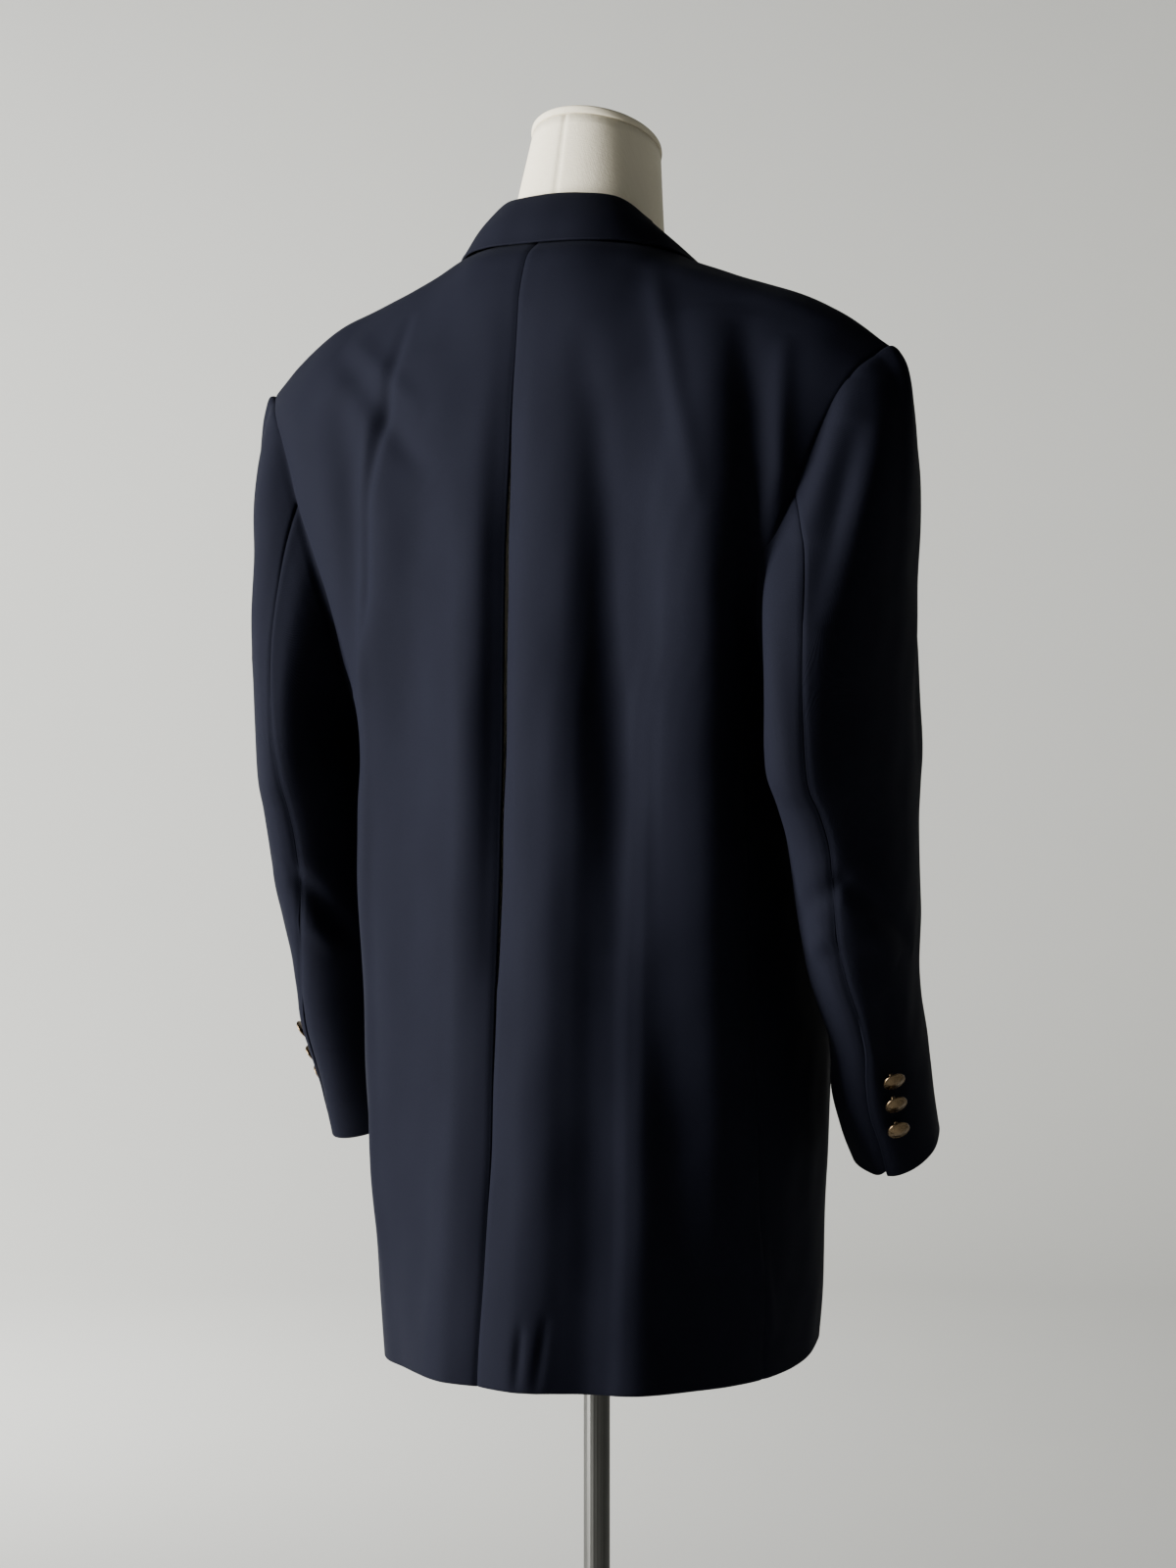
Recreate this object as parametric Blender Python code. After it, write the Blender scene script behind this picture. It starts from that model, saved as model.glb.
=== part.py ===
"""Single-breasted blazer worn by a limbless dress form on a round-footed steel stand.

Frame: metres, +Z up, origin at the middle of the foot's underside, garment front facing -Y.
Curves are written for the wearer's left (+X) and mirrored, with their own rows where the sides differ.
"""
import math

import bpy
import numpy as np

# ---------------------------------------------------------------- driving sizes
CLOTH_WALL = 0.002
SEAM_GAP = 0.0006
ARMHOLE_GAP = 0.0013
LAY_OVER = 0.0033
LAPEL_LIFT = 0.0044
FORM_CLEARANCE = 0.0012
FORM_DEPTH_CLEARANCE = 0.0080

BACK_JUNCTION_ANGLE = 125.0
FRONT_JUNCTION_ANGLE = 235.0
SHOULDER_LINE_DEPTH = 0.045
BACK_ROLL_DROP = 0.16
FRONT_ROLL_DROP = 0.19
ROLL_POWER = 2.0
HEM_LEVEL = 0.70
BACK_SPREAD = math.radians(72.0)
SEAM_MEET = 0.35
EDGE_FOLLOW = 4
FRONT_RISE_POWER = 3.0
FRONT_RISE_INNER = 9.0

NECK_POINT = 0.0755
SHOULDER_POINT = 0.2515
BREAK_HEIGHT = 1.030
FRONT_OVERLAP = 0.018
QUARTER_START = 0.800
QUARTER_DROP = 0.11
QUARTER_SWEEP = 0.055
ROLL_LINE_BEND = 1.418
ROLL_LINE_SIDE = 0.062
ROLL_SHARE = 0.62
LAP_FADE_START = 0.022
LAP_FADE_END = 0.055

SLEEVE_BUTTON_RADIUS = 0.0078
SLEEVE_BUTTON_SHANK = 0.0048
SLEEVE_BUTTON_DOME = 0.0036
FRONT_BUTTON_RADIUS = 0.0102
FRONT_BUTTON_SHANK = 0.0026
FRONT_BUTTON_DOME = 0.0046
SHANK_RADIUS = 0.0014
BUTTON_GAP = 0.0004
BUTTON_SIDES = 12

POLE_RADIUS = 0.0095
STAND_GAP = 0.0004
FOOT_RADIUS = 0.165
FOOT_THICKNESS = 0.012
FOOT_BEVEL = 0.002
SOCKET_RADIUS = 0.018
SOCKET_HEIGHT = 0.040
ROUND_SIDES = 48
SHARP_ANGLE = math.radians(40.0)

# one row a level: height, back half width, front half width, narrower left,
# back depth, front depth, squareness
SECTION_COLUMNS = ("height", "back_wide", "front_wide", "skew", "back", "front", "square")
SECTIONS = (
    (0.680, 0.1510, 0.1510, 0.0100, 0.1680, 0.150, 2.0),
    (0.740, 0.1565, 0.1565, 0.0070, 0.1606, 0.150, 2.0),
    (0.800, 0.1610, 0.1610, 0.0040, 0.1530, 0.148, 2.1),
    (0.870, 0.1640, 0.1640, 0.0015, 0.1475, 0.146, 2.2),
    (0.940, 0.1660, 0.1660, 0.0000, 0.1446, 0.144, 2.3),
    (1.040, 0.1680, 0.1680, 0.0000, 0.1395, 0.142, 2.6),
    (1.110, 0.1690, 0.1690, 0.0000, 0.1356, 0.140, 2.8),
    (1.145, 0.1715, 0.1715, 0.0000, 0.1348, 0.138, 2.8),
    (1.200, 0.1960, 0.1730, 0.0000, 0.1340, 0.136, 2.6),
    (1.260, 0.2280, 0.1790, 0.0000, 0.1330, 0.133, 2.5),
    (1.310, 0.2560, 0.1930, 0.0000, 0.1305, 0.126, 2.5),
    (1.356, 0.2720, 0.2200, 0.0000, 0.1255, 0.116, 2.5),
    (1.425, 0.2950, 0.2600, 0.0000, 0.1210, 0.098, 2.5),
    (1.500, 0.3200, 0.3000, 0.0000, 0.1230, 0.080, 2.5),
)

# shoulder line seen from behind: distance from the middle, height
SHOULDER_LINE = (
    (0.0000, 1.4870), (0.0400, 1.4885), (0.0755, 1.4880), (0.0950, 1.4795), (0.1430, 1.4615),
    (0.1800, 1.4465), (0.2100, 1.4285), (0.2300, 1.4140), (0.2515, 1.3985), (0.2800, 1.3750),
)
# back neckline in plan: distance from the middle, depth behind the pole
BACK_NECKLINE = ((0.0000, 0.0800), (0.0300, 0.0755), (0.0550, 0.0630), (NECK_POINT, SHOULDER_LINE_DEPTH))

# one row a point of the armhole: turn from the shoulder point backward, side, depth, height
ARMHOLE = (
    (0.0, 0.2515, 0.0450, 1.3985),
    (25.0, 0.2360, 0.0680, 1.3790),
    (50.0, 0.2180, 0.0810, 1.3420),
    (65.0, 0.2070, 0.0870, 1.3140),
    (90.0, 0.1850, 0.0950, 1.2580),
    (125.0, 0.1745, 0.0780, 1.1980),
    (150.0, 0.1715, 0.0520, 1.1600),
    (180.0, 0.1700, 0.0180, 1.1450),
    (210.0, 0.1690, -0.0180, 1.1570),
    (235.0, 0.1665, -0.0440, 1.1900),
    (270.0, 0.1680, -0.0600, 1.2500),
    (300.0, 0.1840, -0.0520, 1.3140),
    (330.0, 0.2200, -0.0120, 1.3680),
    (360.0, 0.2515, 0.0450, 1.3985),
)

ARMHOLE_CENTRE = (0.10, 0.0, 1.30)
SHOULDER_WAY = (0.35, 0.0, 0.94)
# how much nearer the middle the left armhole lies, by the same turn
ARMHOLE_LEFT_IN = ((0.0, 0.000), (40.0, 0.004), (90.0, 0.008), (115.0, 0.009), (145.0, 0.001), (180.0, 0.000),
                   (360.0, 0.000))
# how much lower the right shoulder lies, by the distance from the middle
RIGHT_DROP = ((0.000, 0.000), (0.030, 0.002), (0.060, 0.004), (0.170, 0.0045), (SHOULDER_POINT, 0.000),
              (0.300, 0.000))

# back seam between back and side panel, front seam between side and front: height, turn from the centre back
BACK_SEAM_TURN = ((0.680, 76.0), (0.860, 70.0), (1.050, 66.0), (1.198, 64.0))
FRONT_SEAM_TURN = ((0.680, 118.0), (0.860, 114.0), (1.050, 112.0), (1.190, 110.0))

# hem height by turn from the centre back, wearer's left then right
HEM_LEFT = ((0.0, 0.7050), (20.0, 0.7065), (45.0, 0.7060), (90.0, 0.7000), (130.0, 0.7000), (180.0, 0.7000))
HEM_RIGHT = ((0.0, 0.7050), (45.0, 0.7035), (90.0, 0.7080), (115.0, 0.7220), (150.0, 0.7120), (180.0, 0.7000))

# soft vertical folds on the back: side at top, side at hem, top height, foot height, half width, rise
BACK_FOLDS_LEFT = (
    (0.000, 0.000, 1.470, 0.660, 0.011, -0.0040),
    (0.024, 0.030, 1.400, 0.760, 0.015, 0.0030),
    (0.070, 0.078, 1.360, 0.660, 0.020, -0.0022),
    (0.128, 0.118, 1.330, 0.660, 0.022, 0.0030),
)
BACK_FOLDS_RIGHT = (
    (0.000, 0.000, 1.470, 0.660, 0.011, -0.0040),
    (0.042, 0.036, 1.420, 0.700, 0.018, 0.0036),
    (0.086, 0.072, 1.400, 0.640, 0.019, -0.0060),
    (0.132, 0.110, 1.440, 0.640, 0.022, 0.0075),
    (0.166, 0.150, 1.300, 0.900, 0.014, -0.0050),
)

# one row a ring below the armpit: height, side, depth, half across, half deep, inward turn, back seam angle
SLEEVE_COLUMNS = ("height", "side", "depth", "across", "deep", "turn", "seam")
SLEEVE_LEFT = (
    (1.125, 0.2075, 0.0330, 0.0350, 0.078, 0.0, 100.0),
    (1.082, 0.2075, 0.0260, 0.0350, 0.068, 3.0, 107.0),
    (1.037, 0.2100, 0.0170, 0.0350, 0.060, 6.0, 106.0),
    (0.994, 0.2110, 0.0040, 0.0340, 0.056, 9.0, 90.0),
    (0.941, 0.2120, -0.0150, 0.0320, 0.055, 13.0, 76.0),
    (0.900, 0.2090, -0.0320, 0.0310, 0.055, 17.0, 69.0),
    (0.862, 0.2095, -0.0490, 0.0300, 0.055, 20.0, 60.0),
)
SLEEVE_RIGHT = (
    (1.125, 0.2145, 0.0360, 0.0410, 0.088, 0.0, 75.0),
    (1.082, 0.2155, 0.0280, 0.0415, 0.070, 3.0, 77.0),
    (1.037, 0.2165, 0.0190, 0.0400, 0.066, 6.0, 84.0),
    (0.994, 0.2150, 0.0060, 0.0375, 0.062, 9.0, 86.0),
    (0.941, 0.2160, -0.0140, 0.0330, 0.055, 13.0, 88.0),
    (0.900, 0.2110, -0.0310, 0.0350, 0.057, 17.0, 93.0),
    (0.862, 0.2130, -0.0480, 0.0315, 0.055, 20.0, 102.0),
)
ARMHOLE_SEAM_LEFT = 66.0
ARMHOLE_SEAM_RIGHT = 72.0
UNDER_SEAM_ANGLE = 232.0
CAP_ROWS = 8
HEAD_CROWDING = 1.4
FOREARM_ROWS = 12
UPPER_FRONT_COLUMNS = 8
UPPER_BACK_COLUMNS = 6
UNDER_COLUMNS = 9
CAP_ARRIVE = 0.45
VENT_NOTCH = 0.004
# how the sleeve leaves the armhole: turn, sideways, back, up, share of the cap it keeps that way
CAP_LEAVE_WAYS = ((0.0, 0.55, 0.00, -0.83, 0.15), (90.0, 0.25, 0.60, -0.76, 0.36),
                  (140.0, 0.45, 0.50, -0.74, 0.40), (180.0, 0.85, 0.05, -0.50, 0.42),
                  (225.0, 0.70, -0.20, -0.65, 0.42), (270.0, 0.45, -0.30, -0.85, 0.36),
                  (360.0, 0.55, 0.00, -0.83, 0.15))
RIGHT_HEAD_OUT = 0.90
HEAD_FOLLOW = 4.0
# one row a cuff button: length down the sleeve, turn from the back seam, sag on its shank
CUFF_BUTTONS_LEFT = ((1.704, 32.0, 27.0), (1.772, 32.0, 31.0), (1.840, 32.0, 32.0))
CUFF_BUTTONS_RIGHT = ((1.732, 27.0, 27.0), (1.788, 28.0, 31.0), (1.860, 24.0, 32.0))
FRONT_BUTTON_HEIGHTS = (1.015, 0.905)
CLOTH_MATERIALS = ("body_cloth", "sleeve_cloth", "collar_cloth")

BACK_COLUMNS = 14
LOW_ROWS = 14
BACK_HIGH_ROWS = 12
SHOULDER_CROWDING = 1.3
SIDE_COLUMNS = 7
FRONT_COLUMNS = 11
FRONT_HIGH_ROWS = 11

# how the lapel's inner edge turns under the roll: across, stand-off from the front
LAPEL_TURN_UNDER = ((-0.0030, -0.0010), (-0.0024, 0.0036))
LAPEL_START_IN = 0.0015
# lapel, one row a station up the roll line: height on the roll line, width, droop of its outer edge
LAPEL = ((1.040, 0.004, 0.000), (1.100, 0.034, 0.000), (1.180, 0.058, 0.004), (1.260, 0.072, 0.014),
         (1.330, 0.080, 0.030), (1.410, 0.083, 0.052))
LAPEL_ROWS = 11
LAPEL_COLUMNS = 7
LAPEL_RIGHT_START = 1.135
LAPEL_BULGE = 0.0030
GORGE_START = 1.4165
GORGE_END_HEIGHT = 1.385
NOTCH_DROP = 0.030
NOTCH_SHARE = 0.60

# collar, one row a station from the centre back to the front end
COLLAR_COLUMNS = ("station", "neck_side", "neck_height", "roll_side", "roll_depth", "roll_height",
                  "fall_side", "fall_depth")
COLLAR = (
    (0.0, 0.0000, 1.4870, 0.0000, 0.0670, 1.5210, 0.0000, 0.0890),
    (1.0, 0.0300, 1.4882, 0.0280, 0.0635, 1.5215, 0.0320, 0.0855),
    (2.0, 0.0550, 1.4884, 0.0475, 0.0505, 1.5200, 0.0620, 0.0720),
    (3.0, 0.0755, 1.4880, 0.0590, 0.0270, 1.5080, 0.0880, 0.0460),
    (4.0, 0.0735, 1.4750, 0.0620, -0.0020, 1.4850, 0.1030, 0.0060),
    (5.0, 0.0680, 1.4500, 0.0605, -0.0350, 1.4580, 0.1160, -0.0380),
    (6.0, 0.0620, 1.4180, 0.0570, -0.0670, 1.4250, 0.1200, -0.0780),
)
SHOULDER_STATION = 3.0
NECK_CENTRE_DEPTH = 0.005
COLLAR_GAP = 0.0018
ROLL_RADIUS = 0.0034
FALL_BULGE = 0.0018
COLLAR_STATIONS = 25

# dress form, one row a level: height, half width, back depth, front depth
FORM = (
    (0.760, 0.1400, 0.120, 0.118),
    (0.800, 0.1480, 0.126, 0.124),
    (0.870, 0.1520, 0.126, 0.126),
    (0.960, 0.1480, 0.116, 0.118),
    (1.050, 0.1400, 0.104, 0.108),
    (1.130, 0.1440, 0.108, 0.116),
    (1.220, 0.1520, 0.114, 0.124),
    (1.300, 0.1640, 0.112, 0.116),
    (1.350, 0.1720, 0.106, 0.100),
    (1.395, 0.1750, 0.104, 0.086),
    (1.440, 0.1720, 0.100, 0.070),
    (1.500, 0.1600, 0.090, 0.050),
)
FORM_SIDES = 32
NECK = ((1.487, 0.0600, 0.0510, 0.0170), (1.503, 0.0570, 0.0490, 0.0140), (1.530, 0.0525, 0.0470, 0.0080),
        (1.566, 0.0465, 0.0450, 0.0000))
FORM_AXIS_DEPTH = 0.020
FORM_SQUARE = 2.3
FORM_LIMIT_HEIGHT = 1.30
FORM_LEVELS = (0.760, 0.772, 0.800, 0.840, 0.890, 0.950, 1.010, 1.070, 1.130, 1.190, 1.250, 1.310, 1.360,
               1.400, 1.425, 1.440, 1.450, 1.458, 1.465, 1.472, 1.479)
NECK_TOP_TILT = 0.34
NECK_CAP_THICKNESS = 0.009
# rim of the neck cap: growth beyond the neck, share of its thickness
NECK_CAP_RIM = ((0.0016, 0.0), (0.0020, 0.3), (0.0016, 0.75), (-0.004, 1.0))


# ---------------------------------------------------------------- small maths
def smooth_rows(rows, value):
    """Read a table by its first column with a smooth curve through the rows."""
    table = np.asarray(rows, float)
    keys = table[:, 0]
    slopes = np.gradient(table[:, 1:], keys, axis=0)
    value = float(np.clip(value, keys[0], keys[-1]))
    low = int(np.clip(np.searchsorted(keys, value) - 1, 0, len(keys) - 2))
    span = keys[low + 1] - keys[low]
    part = (value - keys[low]) / span
    ease_two = part * part
    ease_three = ease_two * part
    return ((2 * ease_three - 3 * ease_two + 1) * table[low, 1:]
            + (ease_three - 2 * ease_two + part) * span * slopes[low]
            + (3 * ease_two - 2 * ease_three) * table[low + 1, 1:]
            + (ease_three - ease_two) * span * slopes[low + 1])


def read_curve(rows, value):
    """Read one number from a two-column table."""
    return float(smooth_rows(rows, value)[0])


def ease(value):
    """Zero to one with flat ends."""
    value = min(max(value, 0.0), 1.0)
    return value * value * (3.0 - 2.0 * value)


def unit(vector):
    """The vector at length one."""
    vector = np.asarray(vector, float)
    return vector / max(float(np.linalg.norm(vector)), 1e-12)


def section_at(height):
    """Named sizes of the garment's section at a height."""
    return dict(zip(SECTION_COLUMNS[1:], smooth_rows(SECTIONS, height)))


# ---------------------------------------------------------------- torso surface
def shoulder_line(side, across):
    """Height of the shoulder line at a distance from the middle."""
    across = abs(across)
    drop = read_curve(RIGHT_DROP, across) if side < 0 else 0.0
    return read_curve(SHOULDER_LINE, across) - drop


def neckline_depth(across):
    """Depth of the back's upper edge: the neckline, then the shoulder seam."""
    return read_curve(BACK_NECKLINE, across) if across < NECK_POINT else SHOULDER_LINE_DEPTH


def fold_rise(side, across, height):
    """Rise of the soft vertical folds on the back at one place."""
    rise = 0.0
    for top_side, foot_side, top, foot, wide, depth in (BACK_FOLDS_LEFT if side > 0 else BACK_FOLDS_RIGHT):
        fall = (top - height) / (top - foot)
        if fall <= 0.0:
            continue
        middle = top_side + (foot_side - top_side) * min(fall, 1.0)
        spread = wide * (0.8 + 0.5 * min(fall, 1.0))
        rise += depth * ease(fall * 3.0) * math.exp(-((across - middle) / spread) ** 2)
    return rise


def half_width(section, side, front):
    """Half width of a section on one side."""
    wide = section["front_wide"] if front else section["back_wide"]
    return wide - side * section["skew"]


def roll_over(top, height, drop):
    """How far the cloth has turned from the shoulder line to its full depth."""
    part = min(max((top - height) / drop, 0.0), 1.0)
    return (1.0 - (1.0 - part) ** ROLL_POWER) ** (1.0 / ROLL_POWER)


def back_surface(side, across, height, folds=True):
    """Depth of the back at a place."""
    section = section_at(height)
    wide = half_width(section, side, False)
    ratio = min(abs(across) / wide, 0.9995)
    depth = section["back"] * (1.0 - ratio ** section["square"]) ** (1.0 / section["square"])
    top = shoulder_line(side, across)
    end = neckline_depth(abs(across))
    if folds:
        depth += fold_rise(side, abs(across), height)
    return end + (depth - end) * roll_over(top, height, BACK_ROLL_DROP)


def front_surface(side, across, height):
    """Depth of the front at a place, negative forward."""
    section = section_at(height)
    wide = half_width(section, side, True)
    ratio = min(abs(across) / wide, 0.9995)
    depth = section["front"] * (1.0 - ratio ** section["square"]) ** (1.0 / section["square"])
    top = shoulder_line(side, max(abs(across), NECK_POINT))
    end = SHOULDER_LINE_DEPTH
    return end + (-depth - end) * roll_over(top, height, FRONT_ROLL_DROP)


def section_point(side, turn, height):
    """Point of a level section by its turn from the centre back."""
    section = section_at(height)
    front = turn > 90.0
    power = 2.0 / section["square"]
    angle = math.radians(turn)
    across = half_width(section, side, front) * abs(math.sin(angle)) ** power
    depth = (section["front"] if front else section["back"]) * abs(math.cos(angle)) ** power
    return np.array((across, -depth if front else depth, height))


def section_normal(side, turn, height):
    """Outward direction of a level section."""
    ahead = section_point(side, turn + 1.0, height)
    behind = section_point(side, turn - 1.0, height)
    along = unit(ahead - behind)
    return np.array((-along[1], along[0], 0.0)) * (1.0 if along[1] < 0.0 else -1.0)


def armhole_point(side, angle):
    """Point of the armhole loop."""
    point = smooth_rows(ARMHOLE, angle % 360.0)
    if side > 0:
        point[0] -= read_curve(ARMHOLE_LEFT_IN, angle % 360.0)
    return point


def armhole_normal(side, angle):
    """Direction the cloth faces along the armhole, shared by body and sleeve."""
    point = armhole_point(side, angle)
    centre = np.array((ARMHOLE_CENTRE[0], ARMHOLE_CENTRE[1], min(point[2], ARMHOLE_CENTRE[2])))
    top_share = max(0.0, math.cos(math.radians(angle)))
    return unit(top_share * np.array(SHOULDER_WAY) + (1.0 - top_share) * unit(point - centre))


def armhole_away(side, angle):
    """Direction along the cloth from the body panels into the armhole."""
    along = unit(armhole_point(side, angle + 2.0) - armhole_point(side, angle - 2.0))
    return unit(np.cross(along, armhole_normal(side, angle)))


def hem_height(side, turn):
    """Height of the hem by the turn from the centre back."""
    return read_curve(HEM_LEFT if side > 0 else HEM_RIGHT, turn)


def mirrored(points, side):
    """Points moved to their own side of the body."""
    moved = np.array(points, float)
    moved[..., 0] *= side
    return moved


# ---------------------------------------------------------------- shell building
def grid_normals(grid, inside):
    """Outward direction at every grid point."""
    along_rows = np.gradient(grid, axis=0)
    along_columns = np.gradient(grid, axis=1)
    normals = np.cross(along_rows, along_columns)
    normals /= np.maximum(np.linalg.norm(normals, axis=2, keepdims=True), 1e-12)
    if float(np.sum(normals * (grid - inside))) < 0.0:
        normals = -normals
    return normals


def inset_edges(grid, gaps):
    """Move the four edges of a grid into it: first row, last row, first column, last column."""
    moved = grid.copy()
    first_row, last_row, first_column, last_column = gaps
    for row, neighbour, gap in ((0, 1, first_row), (-1, -2, last_row)):
        step = grid[neighbour] - grid[row]
        moved[row] += step / np.maximum(np.linalg.norm(step, axis=1, keepdims=True), 1e-9) * gap
    for column, neighbour, gap in ((0, 1, first_column), (-1, -2, last_column)):
        step = grid[:, neighbour] - grid[:, column]
        moved[:, column] += step / np.maximum(np.linalg.norm(step, axis=1, keepdims=True), 1e-9) * gap
    return moved


def signed_volume(points, faces):
    """Volume enclosed by a list of polygons."""
    total = 0.0
    for face in faces:
        for index in range(1, len(face) - 1):
            first, second, third = points[face[0]], points[face[index]], points[face[index + 1]]
            total += float(np.dot(first, np.cross(second, third))) / 6.0
    return total


def new_solid(name, points, faces, material):
    """One closed object from points and faces, facing outward."""
    points = np.asarray(points, float)
    if signed_volume(points, faces) < 0.0:
        faces = [tuple(reversed(face)) for face in faces]
    mesh = bpy.data.meshes.new(name)
    mesh.from_pydata([tuple(point) for point in points], [], faces)
    mesh.update()
    mesh.shade_smooth()
    mesh.set_sharp_from_angle(angle=SHARP_ANGLE)
    mesh.materials.append(material)
    solid = bpy.data.objects.new(name, mesh)
    bpy.context.scene.collection.objects.link(solid)
    return solid


def cloth_shell(name, grid, inside, material, edge_normals=None):
    """A cloth wall grown inward from its outer grid; edge_normals holds (row, column, direction)."""
    normals = grid_normals(grid, inside)
    for row, column, direction in edge_normals or ():
        normals[row, column] = direction
    inner = grid - normals * CLOTH_WALL
    rows, columns = grid.shape[:2]
    points = np.concatenate((grid.reshape(-1, 3), inner.reshape(-1, 3)))
    count = rows * columns

    def at(row, column, layer):
        return layer * count + row * columns + column

    faces = []
    for row in range(rows - 1):
        for column in range(columns - 1):
            corners = ((row, column), (row, column + 1), (row + 1, column + 1), (row + 1, column))
            faces.append(tuple(at(r, c, 0) for r, c in corners))
            faces.append(tuple(at(r, c, 1) for r, c in reversed(corners)))
    border = [(0, c) for c in range(columns)] + [(r, columns - 1) for r in range(1, rows)]
    border += [(rows - 1, c) for c in range(columns - 2, -1, -1)] + [(r, 0) for r in range(rows - 2, 0, -1)]
    for index, (row, column) in enumerate(border):
        here = (row, column)
        there = border[(index + 1) % len(border)]
        outer_here, inner_here = at(*here, 0), at(*here, 1)
        outer_there, inner_there = at(*there, 0), at(*there, 1)
        if here < there:
            faces += [(outer_here, inner_here, inner_there), (outer_here, inner_there, outer_there)]
        else:
            faces += [(outer_there, outer_here, inner_here), (outer_there, inner_here, inner_there)]
    return new_solid(name, points, faces, material)


def make_material(name, color, roughness, metallic=0.0):
    """One plain Principled material."""
    material = bpy.data.materials.new(name)
    material.use_nodes = True
    shader = material.node_tree.nodes["Principled BSDF"]
    shader.inputs["Base Color"].default_value = (*color, 1.0)
    shader.inputs["Roughness"].default_value = roughness
    shader.inputs["Metallic"].default_value = metallic
    return material


# ---------------------------------------------------------------- body panels
def back_edge(side, part):
    """Outer edge of the back: the side seam, then the armhole, with the direction it faces."""
    if part <= 0.0:
        junction = armhole_point(side, BACK_JUNCTION_ANGLE)
        low = hem_height(side, read_curve(BACK_SEAM_TURN, HEM_LEVEL))
        height = low + (junction[2] - low) * (part + 1.0)
        turn = read_curve(BACK_SEAM_TURN, height)
        meet = junction - section_point(side, read_curve(BACK_SEAM_TURN, junction[2]), junction[2])
        return (section_point(side, turn, height) + meet * ease((part + SEAM_MEET) / SEAM_MEET),
                section_normal(side, turn, height))
    angle = BACK_JUNCTION_ANGLE * (1.0 - part)
    return armhole_point(side, angle), armhole_normal(side, angle)


def back_grid(side, columns=BACK_COLUMNS, low_rows=LOW_ROWS, high_rows=BACK_HIGH_ROWS):
    """Outer points of one back panel from the hem to the shoulder seam, centre back to its outer edge."""
    parts = [index / low_rows - 1.0 for index in range(low_rows)]
    parts += [1.0 - (1.0 - index / high_rows) ** SHOULDER_CROWDING for index in range(high_rows + 1)]
    junction = armhole_point(side, BACK_JUNCTION_ANGLE)[2]
    grid = np.zeros((len(parts), columns + 1, 3))
    for row, part in enumerate(parts):
        edge, _ = back_edge(side, part)
        for column in range(columns + 1):
            share = column / columns
            across = edge[0] * math.sin(share * BACK_SPREAD) / math.sin(BACK_SPREAD)
            if part <= 0.0:
                turn = share * read_curve(BACK_SEAM_TURN, edge[2])
                low = hem_height(side, turn)
                height = low + (junction - low) * (part + 1.0)
            else:
                height = junction + (shoulder_line(side, across) - junction) * part
                lift = edge[2] - (junction + (shoulder_line(side, edge[0]) - junction) * part)
                height += lift * share ** 2
            depth = back_surface(side, across, height)
            slip = edge[1] - back_surface(side, edge[0], edge[2])
            depth += slip * share ** EDGE_FOLLOW if part < 1.0 else 0.0
            grid[row, column] = (across, depth, height)
    return grid, parts


def shoulder_normal(side, across):
    """Direction square to the shoulder seam, shared by back and front."""
    ahead = shoulder_line(side, across + 0.004)
    behind = shoulder_line(side, across - 0.004)
    return unit((behind - ahead, 0.0, 0.008))


def build_back(side, material):
    """One half of the back."""
    grid, parts = back_grid(side)
    last = grid.shape[1] - 1
    edges = [(row, 0, np.array((0.0, 1.0, 0.0))) for row in range(len(parts))]
    edges += [(row, last, back_edge(side, part)[1]) for row, part in enumerate(parts)]
    for column in range(grid.shape[1]):
        if grid[-1, column, 0] >= NECK_POINT:
            edges.append((-1, column, shoulder_normal(side, grid[-1, column, 0])))
    grid = inset_edges(grid, (0.0, SEAM_GAP / 2, SEAM_GAP / 2, SEAM_GAP / 2))
    edges = [(row, column, mirrored(direction, side)) for row, column, direction in edges]
    name = "back_left" if side > 0 else "back_right"
    return cloth_shell(name, mirrored(grid, side), np.array((0.0, 0.0, 1.1)), material, edges)


def side_turn(height, share):
    """Turn from the centre back at a share of the way from the back seam to the front seam."""
    back = read_curve(BACK_SEAM_TURN, height)
    return back + (read_curve(FRONT_SEAM_TURN, height) - back) * share


def side_grid(side, columns=SIDE_COLUMNS, rows=LOW_ROWS):
    """Outer points of one side panel, hem to armhole, back seam to front seam."""
    grid = np.zeros((rows + 1, columns + 1, 3))
    span = FRONT_JUNCTION_ANGLE - BACK_JUNCTION_ANGLE
    for column in range(columns + 1):
        share = column / columns
        top = armhole_point(side, BACK_JUNCTION_ANGLE + span * share)
        for row in range(rows + 1):
            rise = row / rows
            low = hem_height(side, side_turn(HEM_LEVEL, share))
            height = low + (top[2] - low) * rise
            point = section_point(side, side_turn(height, share), height)
            meet = top - section_point(side, side_turn(top[2], share), top[2])
            grid[row, column] = point + meet * ease((rise - 1.0 + SEAM_MEET) / SEAM_MEET)
    return grid


def build_side(side, material):
    """One side panel under the arm."""
    grid = side_grid(side)
    rows, columns = grid.shape[:2]
    edges = []
    for row in range(rows):
        height = grid[row, 0, 2]
        edges.append((row, 0, section_normal(side, read_curve(BACK_SEAM_TURN, height), height)))
        height = grid[row, -1, 2]
        edges.append((row, columns - 1, section_normal(side, read_curve(FRONT_SEAM_TURN, height), height)))
    span = FRONT_JUNCTION_ANGLE - BACK_JUNCTION_ANGLE
    for column in range(columns):
        angle = BACK_JUNCTION_ANGLE + span * column / (columns - 1)
        edges.append((rows - 1, column, armhole_normal(side, angle)))
    grid = inset_edges(grid, (0.0, SEAM_GAP / 2, SEAM_GAP / 2, SEAM_GAP / 2))
    edges = [(row, column, mirrored(direction, side)) for row, column, direction in edges]
    name = "side_left" if side > 0 else "side_right"
    return cloth_shell(name, mirrored(grid, side), np.array((0.0, 0.0, 1.0)), material, edges)


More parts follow.
